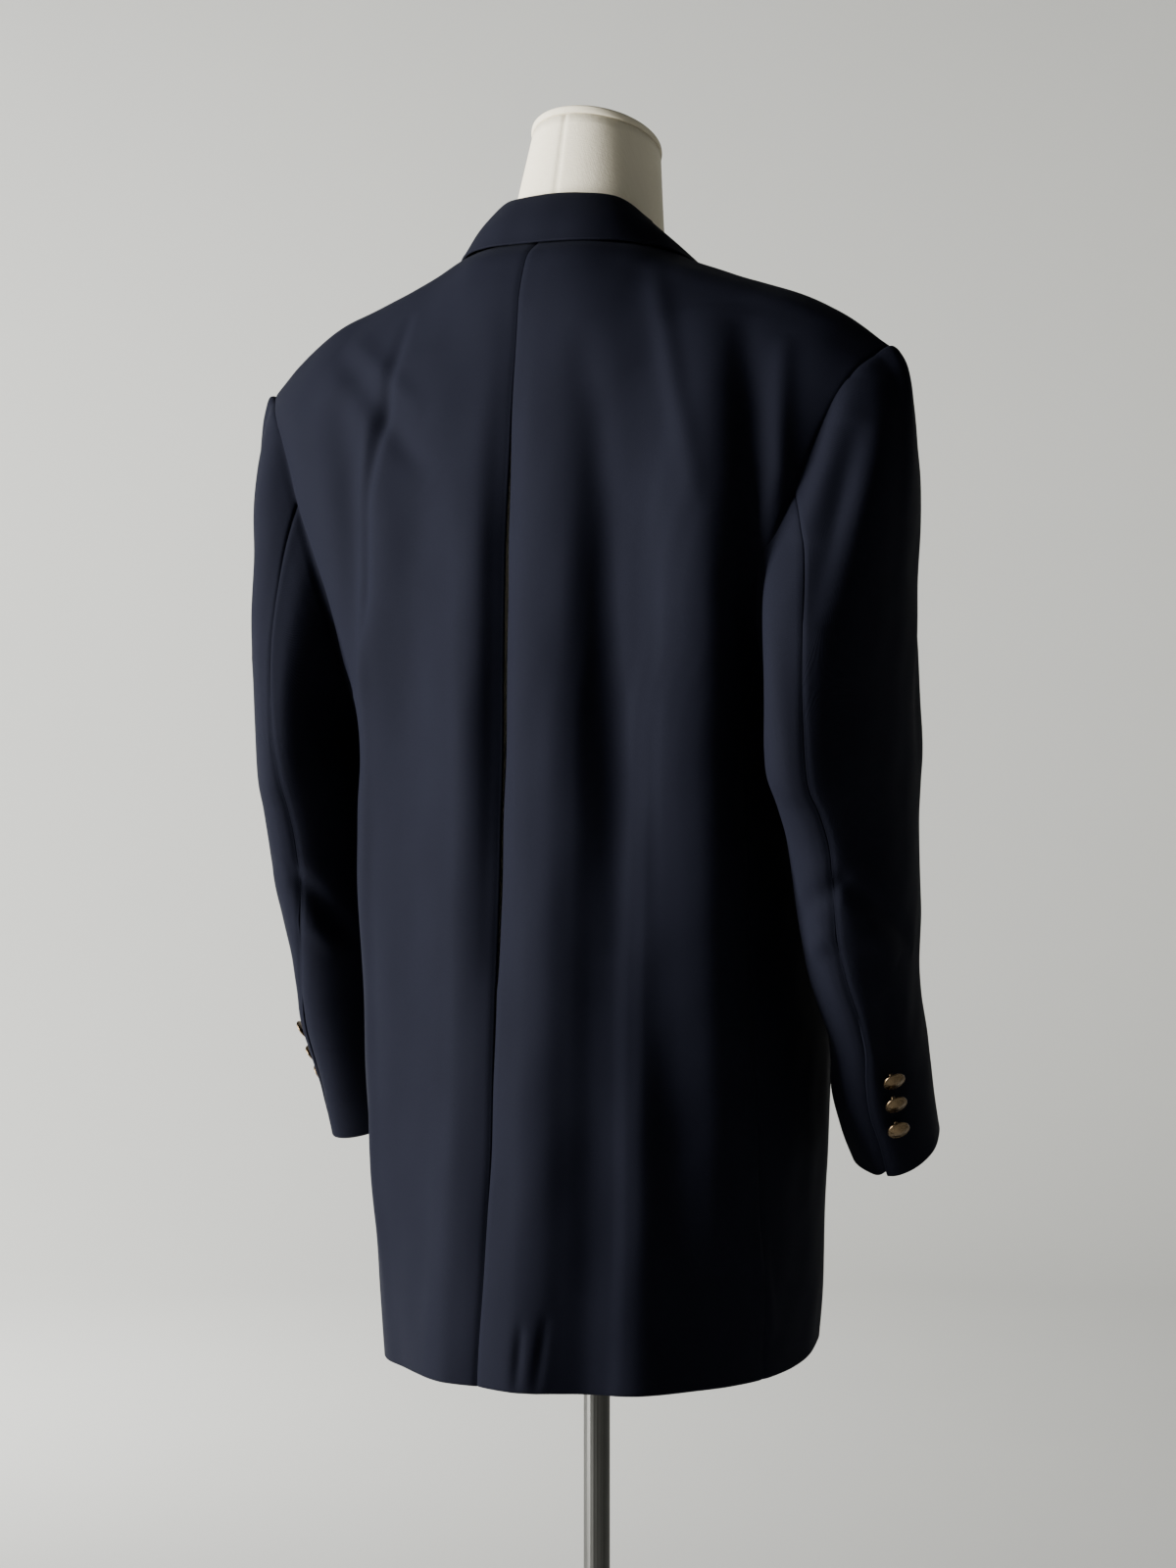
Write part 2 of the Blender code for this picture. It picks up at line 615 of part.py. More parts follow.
def roll_line(height):
    """Distance of the front edge from the middle: overlap below the break, roll line above it."""
    if height <= QUARTER_START:
        return -FRONT_OVERLAP + QUARTER_SWEEP * ((QUARTER_START - height) / QUARTER_DROP) ** 2.2
    if height <= BREAK_HEIGHT:
        return -FRONT_OVERLAP
    rise = (height - BREAK_HEIGHT) / (ROLL_LINE_BEND - BREAK_HEIGHT)
    return -FRONT_OVERLAP + (ROLL_LINE_SIDE + FRONT_OVERLAP) * rise


def front_edge(side, part):
    """Outer edge of the front: the front side seam, then the armhole, with the direction it faces."""
    junction = armhole_point(side, FRONT_JUNCTION_ANGLE)
    if part <= 0.0:
        low = hem_height(side, read_curve(FRONT_SEAM_TURN, HEM_LEVEL))
        height = low + (junction[2] - low) * (part + 1.0)
        turn = read_curve(FRONT_SEAM_TURN, height)
        meet = junction - section_point(side, read_curve(FRONT_SEAM_TURN, junction[2]), junction[2])
        return (section_point(side, turn, height) + meet * ease((part + SEAM_MEET) / SEAM_MEET),
                section_normal(side, turn, height))
    angle = FRONT_JUNCTION_ANGLE + (360.0 - FRONT_JUNCTION_ANGLE) * part
    return armhole_point(side, angle), armhole_normal(side, angle)


def neck_drop(side, station):
    """How much lower the right side of the collar lies at a station."""
    if side > 0:
        return 0.0
    if station <= SHOULDER_STATION:
        return read_curve(RIGHT_DROP, collar_row(station)["neck_side"])
    last = len(COLLAR) - 1
    return read_curve(RIGHT_DROP, NECK_POINT) * ease((last - station) / (last - SHOULDER_STATION))


def neckline_point(side, station):
    """Point of the neckline by collar station, centre back to front end."""
    row = collar_row(station)
    if station <= SHOULDER_STATION:
        return np.array((row["neck_side"], neckline_depth(row["neck_side"]),
                         shoulder_line(side, row["neck_side"])))
    height = row["neck_height"] - neck_drop(side, station)
    return np.array((row["neck_side"], front_surface(side, row["neck_side"], height), height))


def front_inner_edge(side, part):
    """Inner edge of the front: centre front and roll line, then the neckline up to the shoulder seam."""
    junction = armhole_point(side, FRONT_JUNCTION_ANGLE)[2]
    last = len(COLLAR) - 1
    if part <= 0.0:
        low = hem_height(side, 180.0)
        height = low + (junction - low) * (part + 1.0)
        return np.array((roll_line(height), 0.0, height))
    if part < ROLL_SHARE:
        height = junction + (COLLAR[last][2] - junction) * part / ROLL_SHARE
        return np.array((roll_line(height), 0.0, height))
    station = last + (SHOULDER_STATION - last) * (part - ROLL_SHARE) / (1.0 - ROLL_SHARE)
    return neckline_point(side, station)


def closing_rise(side, across):
    """How far the left front stands off to lap over the right one."""
    if side < 0:
        return 0.0
    return LAY_OVER * ease((LAP_FADE_END - across) / (LAP_FADE_END - LAP_FADE_START))


def front_grid(side, columns=FRONT_COLUMNS, low_rows=LOW_ROWS, high_rows=FRONT_HIGH_ROWS):
    """Outer points of one front from the hem to the shoulder seam, front edge to the outer edge."""
    parts = [index / low_rows - 1.0 for index in range(low_rows)]
    parts += [1.0 - (1.0 - index / high_rows) ** SHOULDER_CROWDING for index in range(high_rows + 1)]
    grid = np.zeros((len(parts), columns + 1, 3))
    for row, part in enumerate(parts):
        outer, _ = front_edge(side, part)
        inner = front_inner_edge(side, part)
        for column in range(columns + 1):
            share = math.sin(column / columns * math.pi / 2.0) ** 0.9
            across = inner[0] + (outer[0] - inner[0]) * share
            height = inner[2] + (outer[2] - inner[2]) * share
            if part <= 0.0:
                turn = 180.0 + (read_curve(FRONT_SEAM_TURN, outer[2]) - 180.0) * share
                low = hem_height(side, turn)
                height = low + (armhole_point(side, FRONT_JUNCTION_ANGLE)[2] - low) * (part + 1.0)
            elif column > 0:
                reach = part ** (FRONT_RISE_POWER + FRONT_RISE_INNER * (1.0 - share) ** EDGE_FOLLOW)
                height += (shoulder_line(side, across) - height) * reach
                above_edge = (shoulder_line(side, outer[0]) - outer[2]) * part ** FRONT_RISE_POWER
                height -= above_edge * share ** EDGE_FOLLOW
            slip = outer[1] - front_surface(side, outer[0], outer[2])
            depth = front_surface(side, across, height)
            depth += slip * share ** EDGE_FOLLOW if part < 1.0 else 0.0
            if part <= 0.0 or across < LAP_FADE_END:
                depth -= closing_rise(side, across)
            grid[row, column] = (across, depth, height)
    return grid, parts


def build_front(side, material):
    """One front, from its side seam to the front edge."""
    grid, parts = front_grid(side)
    last = grid.shape[1] - 1
    edges = [(row, last, front_edge(side, part)[1]) for row, part in enumerate(parts)]
    for column in range(grid.shape[1]):
        edges.append((-1, column, shoulder_normal(side, grid[-1, column, 0])))
    grid = inset_edges(grid, (0.0, SEAM_GAP / 2, 0.0, SEAM_GAP / 2))
    edges = [(row, column, mirrored(direction, side)) for row, column, direction in edges]
    name = "front_left" if side > 0 else "front_right"
    return cloth_shell(name, mirrored(grid, side), np.array((0.0, 0.0, 1.1)), material, edges)


# ---------------------------------------------------------------- lapels and collar
def collar_row(station):
    """Named places of the collar at a station."""
    rows = [(float(index), *row[1:]) for index, row in enumerate(COLLAR)]
    return dict(zip(COLLAR_COLUMNS[1:], smooth_rows(rows, station)))


def shoulder_height(side, across, depth):
    """Height of the garment's shoulder over a place in plan."""
    surface = back_surface if depth > SHOULDER_LINE_DEPTH else front_surface
    low, high = 1.20, shoulder_line(side, max(abs(across), NECK_POINT))
    for _ in range(36):
        middle = (low + high) / 2.0
        reach = surface(side, across, middle)
        inside = reach > depth if depth > SHOULDER_LINE_DEPTH else reach < depth
        low, high = (middle, high) if inside else (low, middle)
    return (low + high) / 2.0


def shoulder_point(side, across, depth, lift):
    """Point of the garment's shoulder moved out by a lift."""
    step = 0.002
    here = shoulder_height(side, across, depth)
    slope_across = (shoulder_height(side, across + step, depth) - here) / step
    slope_depth = (shoulder_height(side, across, depth + step) - here) / step
    out = unit((-slope_across, -slope_depth, 1.0))
    return np.array((across, depth, here)) + out * lift


def collar_section(side, station):
    """Visible side of the collar at one station: up the stand, over the roll and down the fall."""
    row = collar_row(station)
    neck = neckline_point(side, station)
    roll = np.array((row["roll_side"], row["roll_depth"], row["roll_height"] - neck_drop(side, station)))
    outward = unit((neck[0], neck[1] - NECK_CENTRE_DEPTH, 0.0))
    rise = unit(roll - neck)
    foot = neck - outward * CLOTH_WALL + rise * COLLAR_GAP
    fall = shoulder_point(side, row["fall_side"], row["fall_depth"], LAY_OVER)
    inner = roll - outward * ROLL_RADIUS - rise * ROLL_RADIUS
    outer = roll + outward * ROLL_RADIUS - rise * ROLL_RADIUS
    points = [foot, foot + (inner - foot) * 0.5, inner, roll]
    away = unit(np.cross(fall - outer, unit(np.cross(outward, np.array((0.0, 0.0, 1.0))))))
    if away[2] < 0.0:
        away = -away
    for share in (0.0, 0.25, 0.5, 0.75, 1.0):
        point = outer + (fall - outer) * share + away * FALL_BULGE * math.sin(math.pi * share)
        points.append(lifted_clear(side, point, neck))
    return points


def lifted_clear(side, point, neck):
    """A fall point raised where it would touch the shoulder."""
    reach = math.hypot(point[0], point[1] - NECK_CENTRE_DEPTH)
    if reach < math.hypot(neck[0], neck[1] - NECK_CENTRE_DEPTH) - CLOTH_WALL:
        return point
    floor = shoulder_height(side, point[0], point[1]) + LAY_OVER * 1.15
    return np.array((point[0], point[1], max(point[2], floor)))


def build_collar(material):
    """The collar, one folded wall from front end to front end."""
    last = len(COLLAR) - 1
    half = COLLAR_STATIONS // 2
    grid = []
    for index in range(-half, half + 1):
        side = 1 if index >= 0 else -1
        section = np.array(collar_section(side, last * abs(index) / half))
        grid.append(mirrored(section, side))
    grid = np.array(grid)
    middle = grid[:, 3:4, :] + (grid[:, :1, :] + grid[:, -1:, :] - 2 * grid[:, 3:4, :]) * 0.35
    return cloth_shell("collar", grid, middle, material)


def lapel_grid(side, rows=LAPEL_ROWS, columns=LAPEL_COLUMNS):
    """Outer points of one lapel: a rolled inner edge, then across to its outer edge."""
    start = LAPEL[0][0] if side > 0 else LAPEL_RIGHT_START
    grid = np.zeros((rows + 1, columns + 3, 3))
    last_row = collar_row(len(COLLAR) - 1)
    gorge_rise = GORGE_END_HEIGHT - last_row["neck_height"]
    gorge_slope = gorge_rise / (last_row["fall_side"] - last_row["neck_side"])
    for row in range(rows + 1):
        rise = row / rows
        height = start + (LAPEL[-1][0] - start) * rise
        width, droop = smooth_rows(LAPEL, height)
        base = roll_line(height)
        lift = closing_rise(side, base)
        edge = front_surface(side, base, height) - lift
        for column, (across, stand_off) in enumerate(LAPEL_TURN_UNDER):
            grid[row, column] = (base + across, edge - stand_off, height)
        for column in range(columns + 1):
            share = column / columns
            across = base + LAPEL_START_IN + width * share
            place = height - droop * share ** 1.5
            gorge = (GORGE_START + gorge_slope * (across - base)
                     - NOTCH_DROP * ease((share - NOTCH_SHARE) / (1.0 - NOTCH_SHARE)))
            top_place = LAPEL[-1][0] - LAPEL[-1][2] * share ** 1.5
            place += (gorge - top_place) * ease((rise - 0.5) * 2.0)
            stand_off = LAPEL_LIFT + LAPEL_BULGE * math.sin(math.pi * min(share * 1.15 + 0.12, 1.0))
            stand_off += closing_rise(side, across)
            grid[row, column + 2] = (across, front_surface(side, across, place) - stand_off, place)
    return grid


def build_lapel(side, material):
    """One lapel turned back on its front."""
    grid = mirrored(lapel_grid(side), side)
    name = "lapel_left" if side > 0 else "lapel_right"
    return cloth_shell(name, grid, np.array((0.0, 0.0, 1.2)), material)


# ---------------------------------------------------------------- sleeves
def sleeve_rows(side):
    """Ring table of one sleeve."""
    return SLEEVE_LEFT if side > 0 else SLEEVE_RIGHT


def sleeve_ring(side, drop, angle):
    """Point of a sleeve below the armpit; drop runs from the first ring to the cuff."""
    rows = sleeve_rows(side)
    height = rows[0][0] + (rows[-1][0] - rows[0][0]) * drop
    flipped = tuple(reversed(rows))
    place = dict(zip(SLEEVE_COLUMNS[1:], smooth_rows(flipped, height)))
    step = 0.006
    above = smooth_rows(flipped, min(height + step, rows[0][0]))[:2]
    below = smooth_rows(flipped, max(height - step, rows[-1][0]))[:2]
    span = min(height + step, rows[0][0]) - max(height - step, rows[-1][0])
    down = unit((*(below - above), -span))
    turn = math.radians(place["turn"])
    back = np.array((math.sin(turn), math.cos(turn), 0.0))
    back = unit(back - down * float(np.dot(back, down)))
    out = unit(np.cross(back, down))
    if out[0] < 0.0:
        out = -out
    bend = math.radians(angle)
    centre = np.array((place["side"], place["depth"], height))
    return centre + out * place["across"] * math.cos(bend) + back * place["deep"] * math.sin(bend), down


def cap_leave(side, angle):
    """Direction in which the sleeve leaves the armhole, and the share of the cap it keeps that way."""
    across, back, up, share = smooth_rows(CAP_LEAVE_WAYS, angle % 360.0)
    if side < 0:
        across += RIGHT_HEAD_OUT * max(0.0, math.cos(math.radians(angle)))
    return unit((across, back, up)), share


def sleeve_point(side, length, angle):
    """Point of a sleeve: length 0 at the armhole, 1 at the first full ring, 2 at the cuff."""
    if length >= 1.0:
        return sleeve_ring(side, length - 1.0, angle)[0]
    way, share = cap_leave(side, angle)
    start = armhole_point(side, angle) + armhole_away(side, angle) * ARMHOLE_GAP
    end, down = sleeve_ring(side, 0.0, angle)
    reach = float(np.linalg.norm(end - start))
    first = start + way * reach * share
    second = end - down * reach * CAP_ARRIVE
    rest = 1.0 - length
    return (start * rest ** 3 + first * 3 * rest ** 2 * length
            + second * 3 * rest * length ** 2 + end * length ** 3)


def back_seam_angle(side, length):
    """Turn of the sleeve's back seam at a length."""
    rows = sleeve_rows(side)
    if length < 1.0:
        start = ARMHOLE_SEAM_LEFT if side > 0 else ARMHOLE_SEAM_RIGHT
        return start + (rows[0][6] - start) * length
    height = rows[0][0] + (rows[-1][0] - rows[0][0]) * (length - 1.0)
    return float(smooth_rows(tuple(reversed(rows)), height)[5])


def sleeve_normal(side, length, angle):
    """Direction the sleeve faces, the same for both pieces; it follows the body at the head."""
    around = sleeve_point(side, length, angle + 2.0) - sleeve_point(side, length, angle - 2.0)
    along = (sleeve_point(side, min(length + 0.02, 2.0), angle)
             - sleeve_point(side, max(length - 0.02, 0.0), angle))
    out = unit(np.cross(around, along))
    centre = (sleeve_point(side, length, 0.0) + sleeve_point(side, length, 90.0)
              + sleeve_point(side, length, 180.0) + sleeve_point(side, length, 270.0)) / 4.0
    if float(np.dot(out, sleeve_point(side, length, angle) - centre)) < 0.0:
        out = -out
    if length <= 0.0:
        body = armhole_normal(side, angle)
        out = unit(out + body * HEAD_FOLLOW * max(0.0, float(np.dot(out, body))))
    return out


def sleeve_lengths():
    """Lengths of the rows from the armhole to the cuff, crowded at the sleeve head."""
    cap = [(index / CAP_ROWS) ** HEAD_CROWDING for index in range(CAP_ROWS)]
    return cap + [1.0 + index / FOREARM_ROWS for index in range(FOREARM_ROWS + 1)]


def sleeve_turns(side, upper, length):
    """Turns of one row of a sleeve piece; the upper one has a column at the shoulder point."""
    seam = back_seam_angle(side, length)
    if not upper:
        return list(np.linspace(seam, UNDER_SEAM_ANGLE, UNDER_COLUMNS + 1))
    front = np.linspace(UNDER_SEAM_ANGLE - 360.0, 0.0, UPPER_FRONT_COLUMNS + 1)
    return list(front[:-1]) + list(np.linspace(0.0, seam, UPPER_BACK_COLUMNS + 1))


def sleeve_grid(side, upper):
    """Outer points of one sleeve piece, with the turns used."""
    turns = np.array([sleeve_turns(side, upper, length) for length in sleeve_lengths()])
    grid = np.zeros((*turns.shape, 3))
    for row, length in enumerate(sleeve_lengths()):
        for column, angle in enumerate(turns[row]):
            grid[row, column] = sleeve_point(side, length, angle)
    if not upper:
        grid[-1, 0] += unit(grid[-2, 0] - grid[-1, 0]) * VENT_NOTCH
    return grid, turns


def build_sleeve_piece(side, upper, material):
    """The upper or the under piece of one sleeve."""
    grid, turns = sleeve_grid(side, upper)
    edges = []
    for row, length in enumerate(sleeve_lengths()):
        for column, angle in enumerate(turns[row]):
            edges.append((row, column, mirrored(sleeve_normal(side, length, angle), side)))
    grid = inset_edges(grid, (0.0, 0.0, SEAM_GAP / 2, SEAM_GAP / 2))
    name = ("sleeve_upper_" if upper else "sleeve_under_") + ("left" if side > 0 else "right")
    return cloth_shell(name, mirrored(grid, side), np.array((0.21 * side, 0.0, 1.0)), material, edges)


# ---------------------------------------------------------------- buttons, form and stand
def turned_solid(name, profile, place, axis, sides, material):
    """A solid of revolution: profile rows of radius and height along the axis, from foot to top."""
    axis = unit(axis)
    first = unit(np.cross(axis, (0.0, 0.0, 1.0) if abs(axis[2]) < 0.9 else (1.0, 0.0, 0.0)))
    second = np.cross(axis, first)
    points = []
    rings = []
    for radius, height in profile:
        centre = np.asarray(place) + axis * height
        if radius <= 0.0:
            rings.append([len(points)])
            points.append(centre)
            continue
        rings.append(list(range(len(points), len(points) + sides)))
        for index in range(sides):
            angle = 2.0 * math.pi * index / sides
            points.append(centre + (first * math.cos(angle) + second * math.sin(angle)) * radius)
    faces = []
    for low, high in zip(rings, rings[1:]):
        for index in range(sides):
            after = (index + 1) % sides
            if len(low) == 1:
                faces.append((low[0], high[after], high[index]))
            elif len(high) == 1:
                faces.append((low[index], low[after], high[0]))
            else:
                faces.append((low[index], low[after], high[after], high[index]))
    if len(rings[0]) > 1:
        faces.append(tuple(reversed(rings[0])))
    if len(rings[-1]) > 1:
        faces.append(tuple(rings[-1]))
    return new_solid(name, points, faces, material)


def button_profile(radius, shank, dome, foot):
    """Domed shank button: shank from its foot, flat back, rim and dome."""
    return ((SHANK_RADIUS, foot), (SHANK_RADIUS, shank), (radius * 0.90, shank), (radius, shank + dome * 0.16),
            (radius * 0.96, shank + dome * 0.38), (radius * 0.66, shank + dome * 0.81), (0.0, shank + dome))


def sagged_axis(side, length, angle, sag):
    """Axis of a button that hangs from its shank, tipped down from the cloth's own direction."""
    out = sleeve_normal(side, length, angle)
    down = unit(np.array((0.0, 0.0, -1.0)) + out * out[2])
    tip = math.radians(sag)
    return out * math.cos(tip) + down * math.sin(tip)


def wall_point(grid, turns, length, angle):
    """Point on the flat faces of a sleeve piece, where a button is sewn."""
    lengths = sleeve_lengths()
    low = int(np.searchsorted(lengths, length)) - 1
    above, below = (np.array([np.interp(angle, turns[row], grid[row, :, axis]) for axis in range(3)])
                    for row in (low, low + 1))
    return above + (below - above) * (length - lengths[low]) / (lengths[low + 1] - lengths[low])


def build_cuff_buttons(side, material):
    """The row of buttons on one cuff, beside the back seam."""
    grid, turns = sleeve_grid(side, True)
    for index, (length, turn, sag) in enumerate(CUFF_BUTTONS_LEFT if side > 0 else CUFF_BUTTONS_RIGHT):
        angle = back_seam_angle(side, length) - turn
        place = mirrored(wall_point(grid, turns, length, angle), side)
        axis = mirrored(sagged_axis(side, length, angle, sag), side)
        foot = BUTTON_GAP + SHANK_RADIUS * math.tan(math.radians(sag))
        profile = button_profile(SLEEVE_BUTTON_RADIUS, SLEEVE_BUTTON_SHANK, SLEEVE_BUTTON_DOME, foot)
        name = "cuff_button_{}_{}".format("left" if side > 0 else "right", index + 1)
        turned_solid(name, profile, place, axis, BUTTON_SIDES, material)


def build_front_buttons(material):
    """The two buttons that close the left front over the right."""
    profile = button_profile(FRONT_BUTTON_RADIUS, FRONT_BUTTON_SHANK, FRONT_BUTTON_DOME, BUTTON_GAP)
    for index, height in enumerate(FRONT_BUTTON_HEIGHTS):
        place = (0.0, front_surface(1, 0.0, height) - LAY_OVER, height)
        name = "front_button_{}".format(index + 1)
        turned_solid(name, profile, place, (0.0, -1.0, 0.0), BUTTON_SIDES, material)


def inside_garment(across, depth, height):
    """Whether a place keeps clear inside the shoulders of the garment."""
    side = 1 if across > 0.0 else -1
    above = height + CLOTH_WALL + FORM_CLEARANCE
    if above >= shoulder_line(side, max(abs(across), NECK_POINT)):
        return False
    if depth > SHOULDER_LINE_DEPTH:
        return back_surface(side, across, above, False) - FORM_DEPTH_CLEARANCE > depth
    return front_surface(side, across, above) + FORM_DEPTH_CLEARANCE < depth


def form_radius(row, angle, height):
    """Reach of the form from its axis in one direction, held inside the garment's shoulders."""
    wide, back, front = row
    side, depth = math.sin(angle), math.cos(angle)
    deep = back - FORM_AXIS_DEPTH if depth > 0.0 else front + FORM_AXIS_DEPTH
    reach = (abs(side / wide) ** FORM_SQUARE + abs(depth / deep) ** FORM_SQUARE) ** (-1.0 / FORM_SQUARE)
    if height < FORM_LIMIT_HEIGHT:
        return reach
    low, high = 0.02, reach
    if inside_garment(reach * side, FORM_AXIS_DEPTH + reach * depth, height):
        return reach
    for _ in range(30):
        middle = (low + high) / 2.0
        if inside_garment(middle * side, FORM_AXIS_DEPTH + middle * depth, height):
            low = middle
        else:
            high = middle
    return low


def loft_solid(name, rings, material):
    """A closed solid from rings of equal count."""
    sides = len(rings[0])
    points = [point for ring in rings for point in ring]
    faces = []
    for level in range(len(rings) - 1):
        for index in range(sides):
            after = (index + 1) % sides
            faces.append((level * sides + index, level * sides + after,
                          (level + 1) * sides + after, (level + 1) * sides + index))
    top = (len(rings) - 1) * sides
    for start, flip in ((0, True), (top, False)):
        middle = len(points)
        points.append(np.mean(np.array(rings[0] if flip else rings[-1]), axis=0))
        for index in range(sides):
            after = (index + 1) % sides
            face = (start + index, start + after, middle)
            faces.append(tuple(reversed(face)) if flip else face)
    return new_solid(name, points, faces, material)


def tilted_ring(wide, deep, middle, height, tilt):
    """One ellipse of the neck, tipped toward the front."""
    ring = []
    for index in range(FORM_SIDES):
        angle = 2.0 * math.pi * index / FORM_SIDES
        depth = middle + deep * math.cos(angle)
        ring.append(np.array((wide * math.sin(angle), depth, height + tilt * (depth - middle))))
    return ring


def build_form(material, cap_material):
    """The dress form: torso and neck in one, with its neck cap."""
    rings = []
    for height in FORM_LEVELS:
        row = smooth_rows(FORM, height)
        ring = []
        for index in range(FORM_SIDES):
            angle = 2.0 * math.pi * index / FORM_SIDES
            reach = form_radius(row, angle, height)
            ring.append(np.array((reach * math.sin(angle), FORM_AXIS_DEPTH + reach * math.cos(angle), height)))
        rings.append(ring)
    top = NECK[-1]
    for height, wide, deep, middle in NECK:
        tilt = NECK_TOP_TILT * ease((height - NECK[0][0]) / (top[0] - NECK[0][0]))
        rings.append(tilted_ring(wide, deep, middle, height, tilt))
    loft_solid("form_torso", rings, material)
    cap = []
    for grow, rise in NECK_CAP_RIM:
        height = top[0] + STAND_GAP + NECK_CAP_THICKNESS * rise
        cap.append(tilted_ring(top[1] + grow, top[2] + grow, top[3], height, NECK_TOP_TILT))
    loft_solid("form_neck_cap", cap, cap_material)


def build_stand(material):
    """The round foot with its socket, and the pole up to the form."""
    bore = POLE_RADIUS + STAND_GAP
    foot = ((0.0, FOOT_THICKNESS), (bore, FOOT_THICKNESS), (bore, FOOT_THICKNESS + SOCKET_HEIGHT),
            (SOCKET_RADIUS, FOOT_THICKNESS + SOCKET_HEIGHT), (SOCKET_RADIUS, FOOT_THICKNESS),
            (FOOT_RADIUS - FOOT_BEVEL, FOOT_THICKNESS), (FOOT_RADIUS, FOOT_THICKNESS - FOOT_BEVEL),
            (FOOT_RADIUS, 0.0), (0.0, 0.0))
    turned_solid("stand_foot", foot, (0.0, 0.0, 0.0), (0.0, 0.0, 1.0), ROUND_SIDES, material)
    pole = ((POLE_RADIUS, FOOT_THICKNESS + STAND_GAP), (POLE_RADIUS, FORM[0][0] - STAND_GAP))
    turned_solid("stand_pole", pole, (0.0, 0.0, 0.0), (0.0, 0.0, 1.0), ROUND_SIDES // 2, material)


def clear_scene():
    """Start from an empty file."""
    for item in list(bpy.data.objects):
        bpy.data.objects.remove(item)


def main():
    """Build every piece."""
    clear_scene()
    cloth = {name: make_material(name, (0.010, 0.012, 0.024), 0.85) for name in CLOTH_MATERIALS}
    metal = make_material("button_metal", (0.30, 0.20, 0.09), 0.35, 1.0)
    linen = make_material("form_linen", (0.62, 0.58, 0.47), 0.9)
    cap = make_material("neck_cap_cloth", (0.60, 0.56, 0.45), 0.9)
    steel = make_material("stand_steel", (0.30, 0.30, 0.29), 0.35, 1.0)
    for side in (1, -1):
        build_back(side, cloth["body_cloth"])
        build_side(side, cloth["body_cloth"])
        build_front(side, cloth["body_cloth"])
        build_lapel(side, cloth["collar_cloth"])
        build_sleeve_piece(side, True, cloth["sleeve_cloth"])
        build_sleeve_piece(side, False, cloth["sleeve_cloth"])
        build_cuff_buttons(side, metal)
    build_collar(cloth["collar_cloth"])
    build_front_buttons(metal)
    build_form(linen, cap)
    build_stand(steel)


if __name__ == "__main__":
    main()
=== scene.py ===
"""Looks of the blazer on its dress form: cloth with its creases, buttons, linen, steel, light and camera.

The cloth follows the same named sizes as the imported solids, on a finer grid with creases and rolled edges.
Curves are written for the wearer's left (+X) and mirrored, with their own rows where the sides differ.
"""

import math

import bpy
import numpy as np
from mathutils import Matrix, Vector


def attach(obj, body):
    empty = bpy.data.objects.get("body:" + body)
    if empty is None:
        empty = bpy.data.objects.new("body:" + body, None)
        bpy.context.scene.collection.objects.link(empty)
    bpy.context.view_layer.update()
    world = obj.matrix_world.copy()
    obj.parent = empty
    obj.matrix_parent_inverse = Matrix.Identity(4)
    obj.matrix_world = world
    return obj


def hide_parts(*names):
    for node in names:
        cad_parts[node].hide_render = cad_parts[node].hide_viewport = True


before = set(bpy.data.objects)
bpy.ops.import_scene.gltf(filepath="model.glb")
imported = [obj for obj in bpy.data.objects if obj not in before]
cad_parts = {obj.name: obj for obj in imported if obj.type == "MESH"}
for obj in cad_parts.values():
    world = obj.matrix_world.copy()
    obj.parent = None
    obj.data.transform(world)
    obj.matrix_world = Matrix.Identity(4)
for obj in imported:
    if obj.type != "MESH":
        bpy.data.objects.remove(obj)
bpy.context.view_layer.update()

# ---------------------------------------------------------------- sizes shared with the solids
CLOTH_WALL = 0.002
ARMHOLE_GAP = 0.0013
LAY_OVER = 0.0033
LAPEL_LIFT = 0.0044
FORM_CLEARANCE = 0.0012
FORM_DEPTH_CLEARANCE = 0.0080

BACK_JUNCTION_ANGLE = 125.0
FRONT_JUNCTION_ANGLE = 235.0
SHOULDER_LINE_DEPTH = 0.045
BACK_ROLL_DROP = 0.16
FRONT_ROLL_DROP = 0.19
ROLL_POWER = 2.0
HEM_LEVEL = 0.70
BACK_SPREAD = math.radians(72.0)
SEAM_MEET = 0.35
WIDEST_SHARE = 0.9995
HALVINGS = 36
EDGE_FOLLOW = 4
FRONT_RISE_POWER = 3.0
FRONT_RISE_INNER = 9.0

NECK_POINT = 0.0755
SHOULDER_POINT = 0.2515
BREAK_HEIGHT = 1.030
FRONT_OVERLAP = 0.018
QUARTER_START = 0.800
QUARTER_DROP = 0.11
QUARTER_SWEEP = 0.055
QUARTER_POWER = 2.2
ROLL_LINE_BEND = 1.418
ROLL_LINE_SIDE = 0.062
ROLL_SHARE = 0.62
LAP_FADE_START = 0.022
LAP_FADE_END = 0.055

SLEEVE_BUTTON_RADIUS = 0.0078
SLEEVE_BUTTON_SHANK = 0.0048
SLEEVE_BUTTON_DOME = 0.0036
FRONT_BUTTON_RADIUS = 0.0102
FRONT_BUTTON_SHANK = 0.0026
FRONT_BUTTON_DOME = 0.0046
SHANK_RADIUS = 0.0014

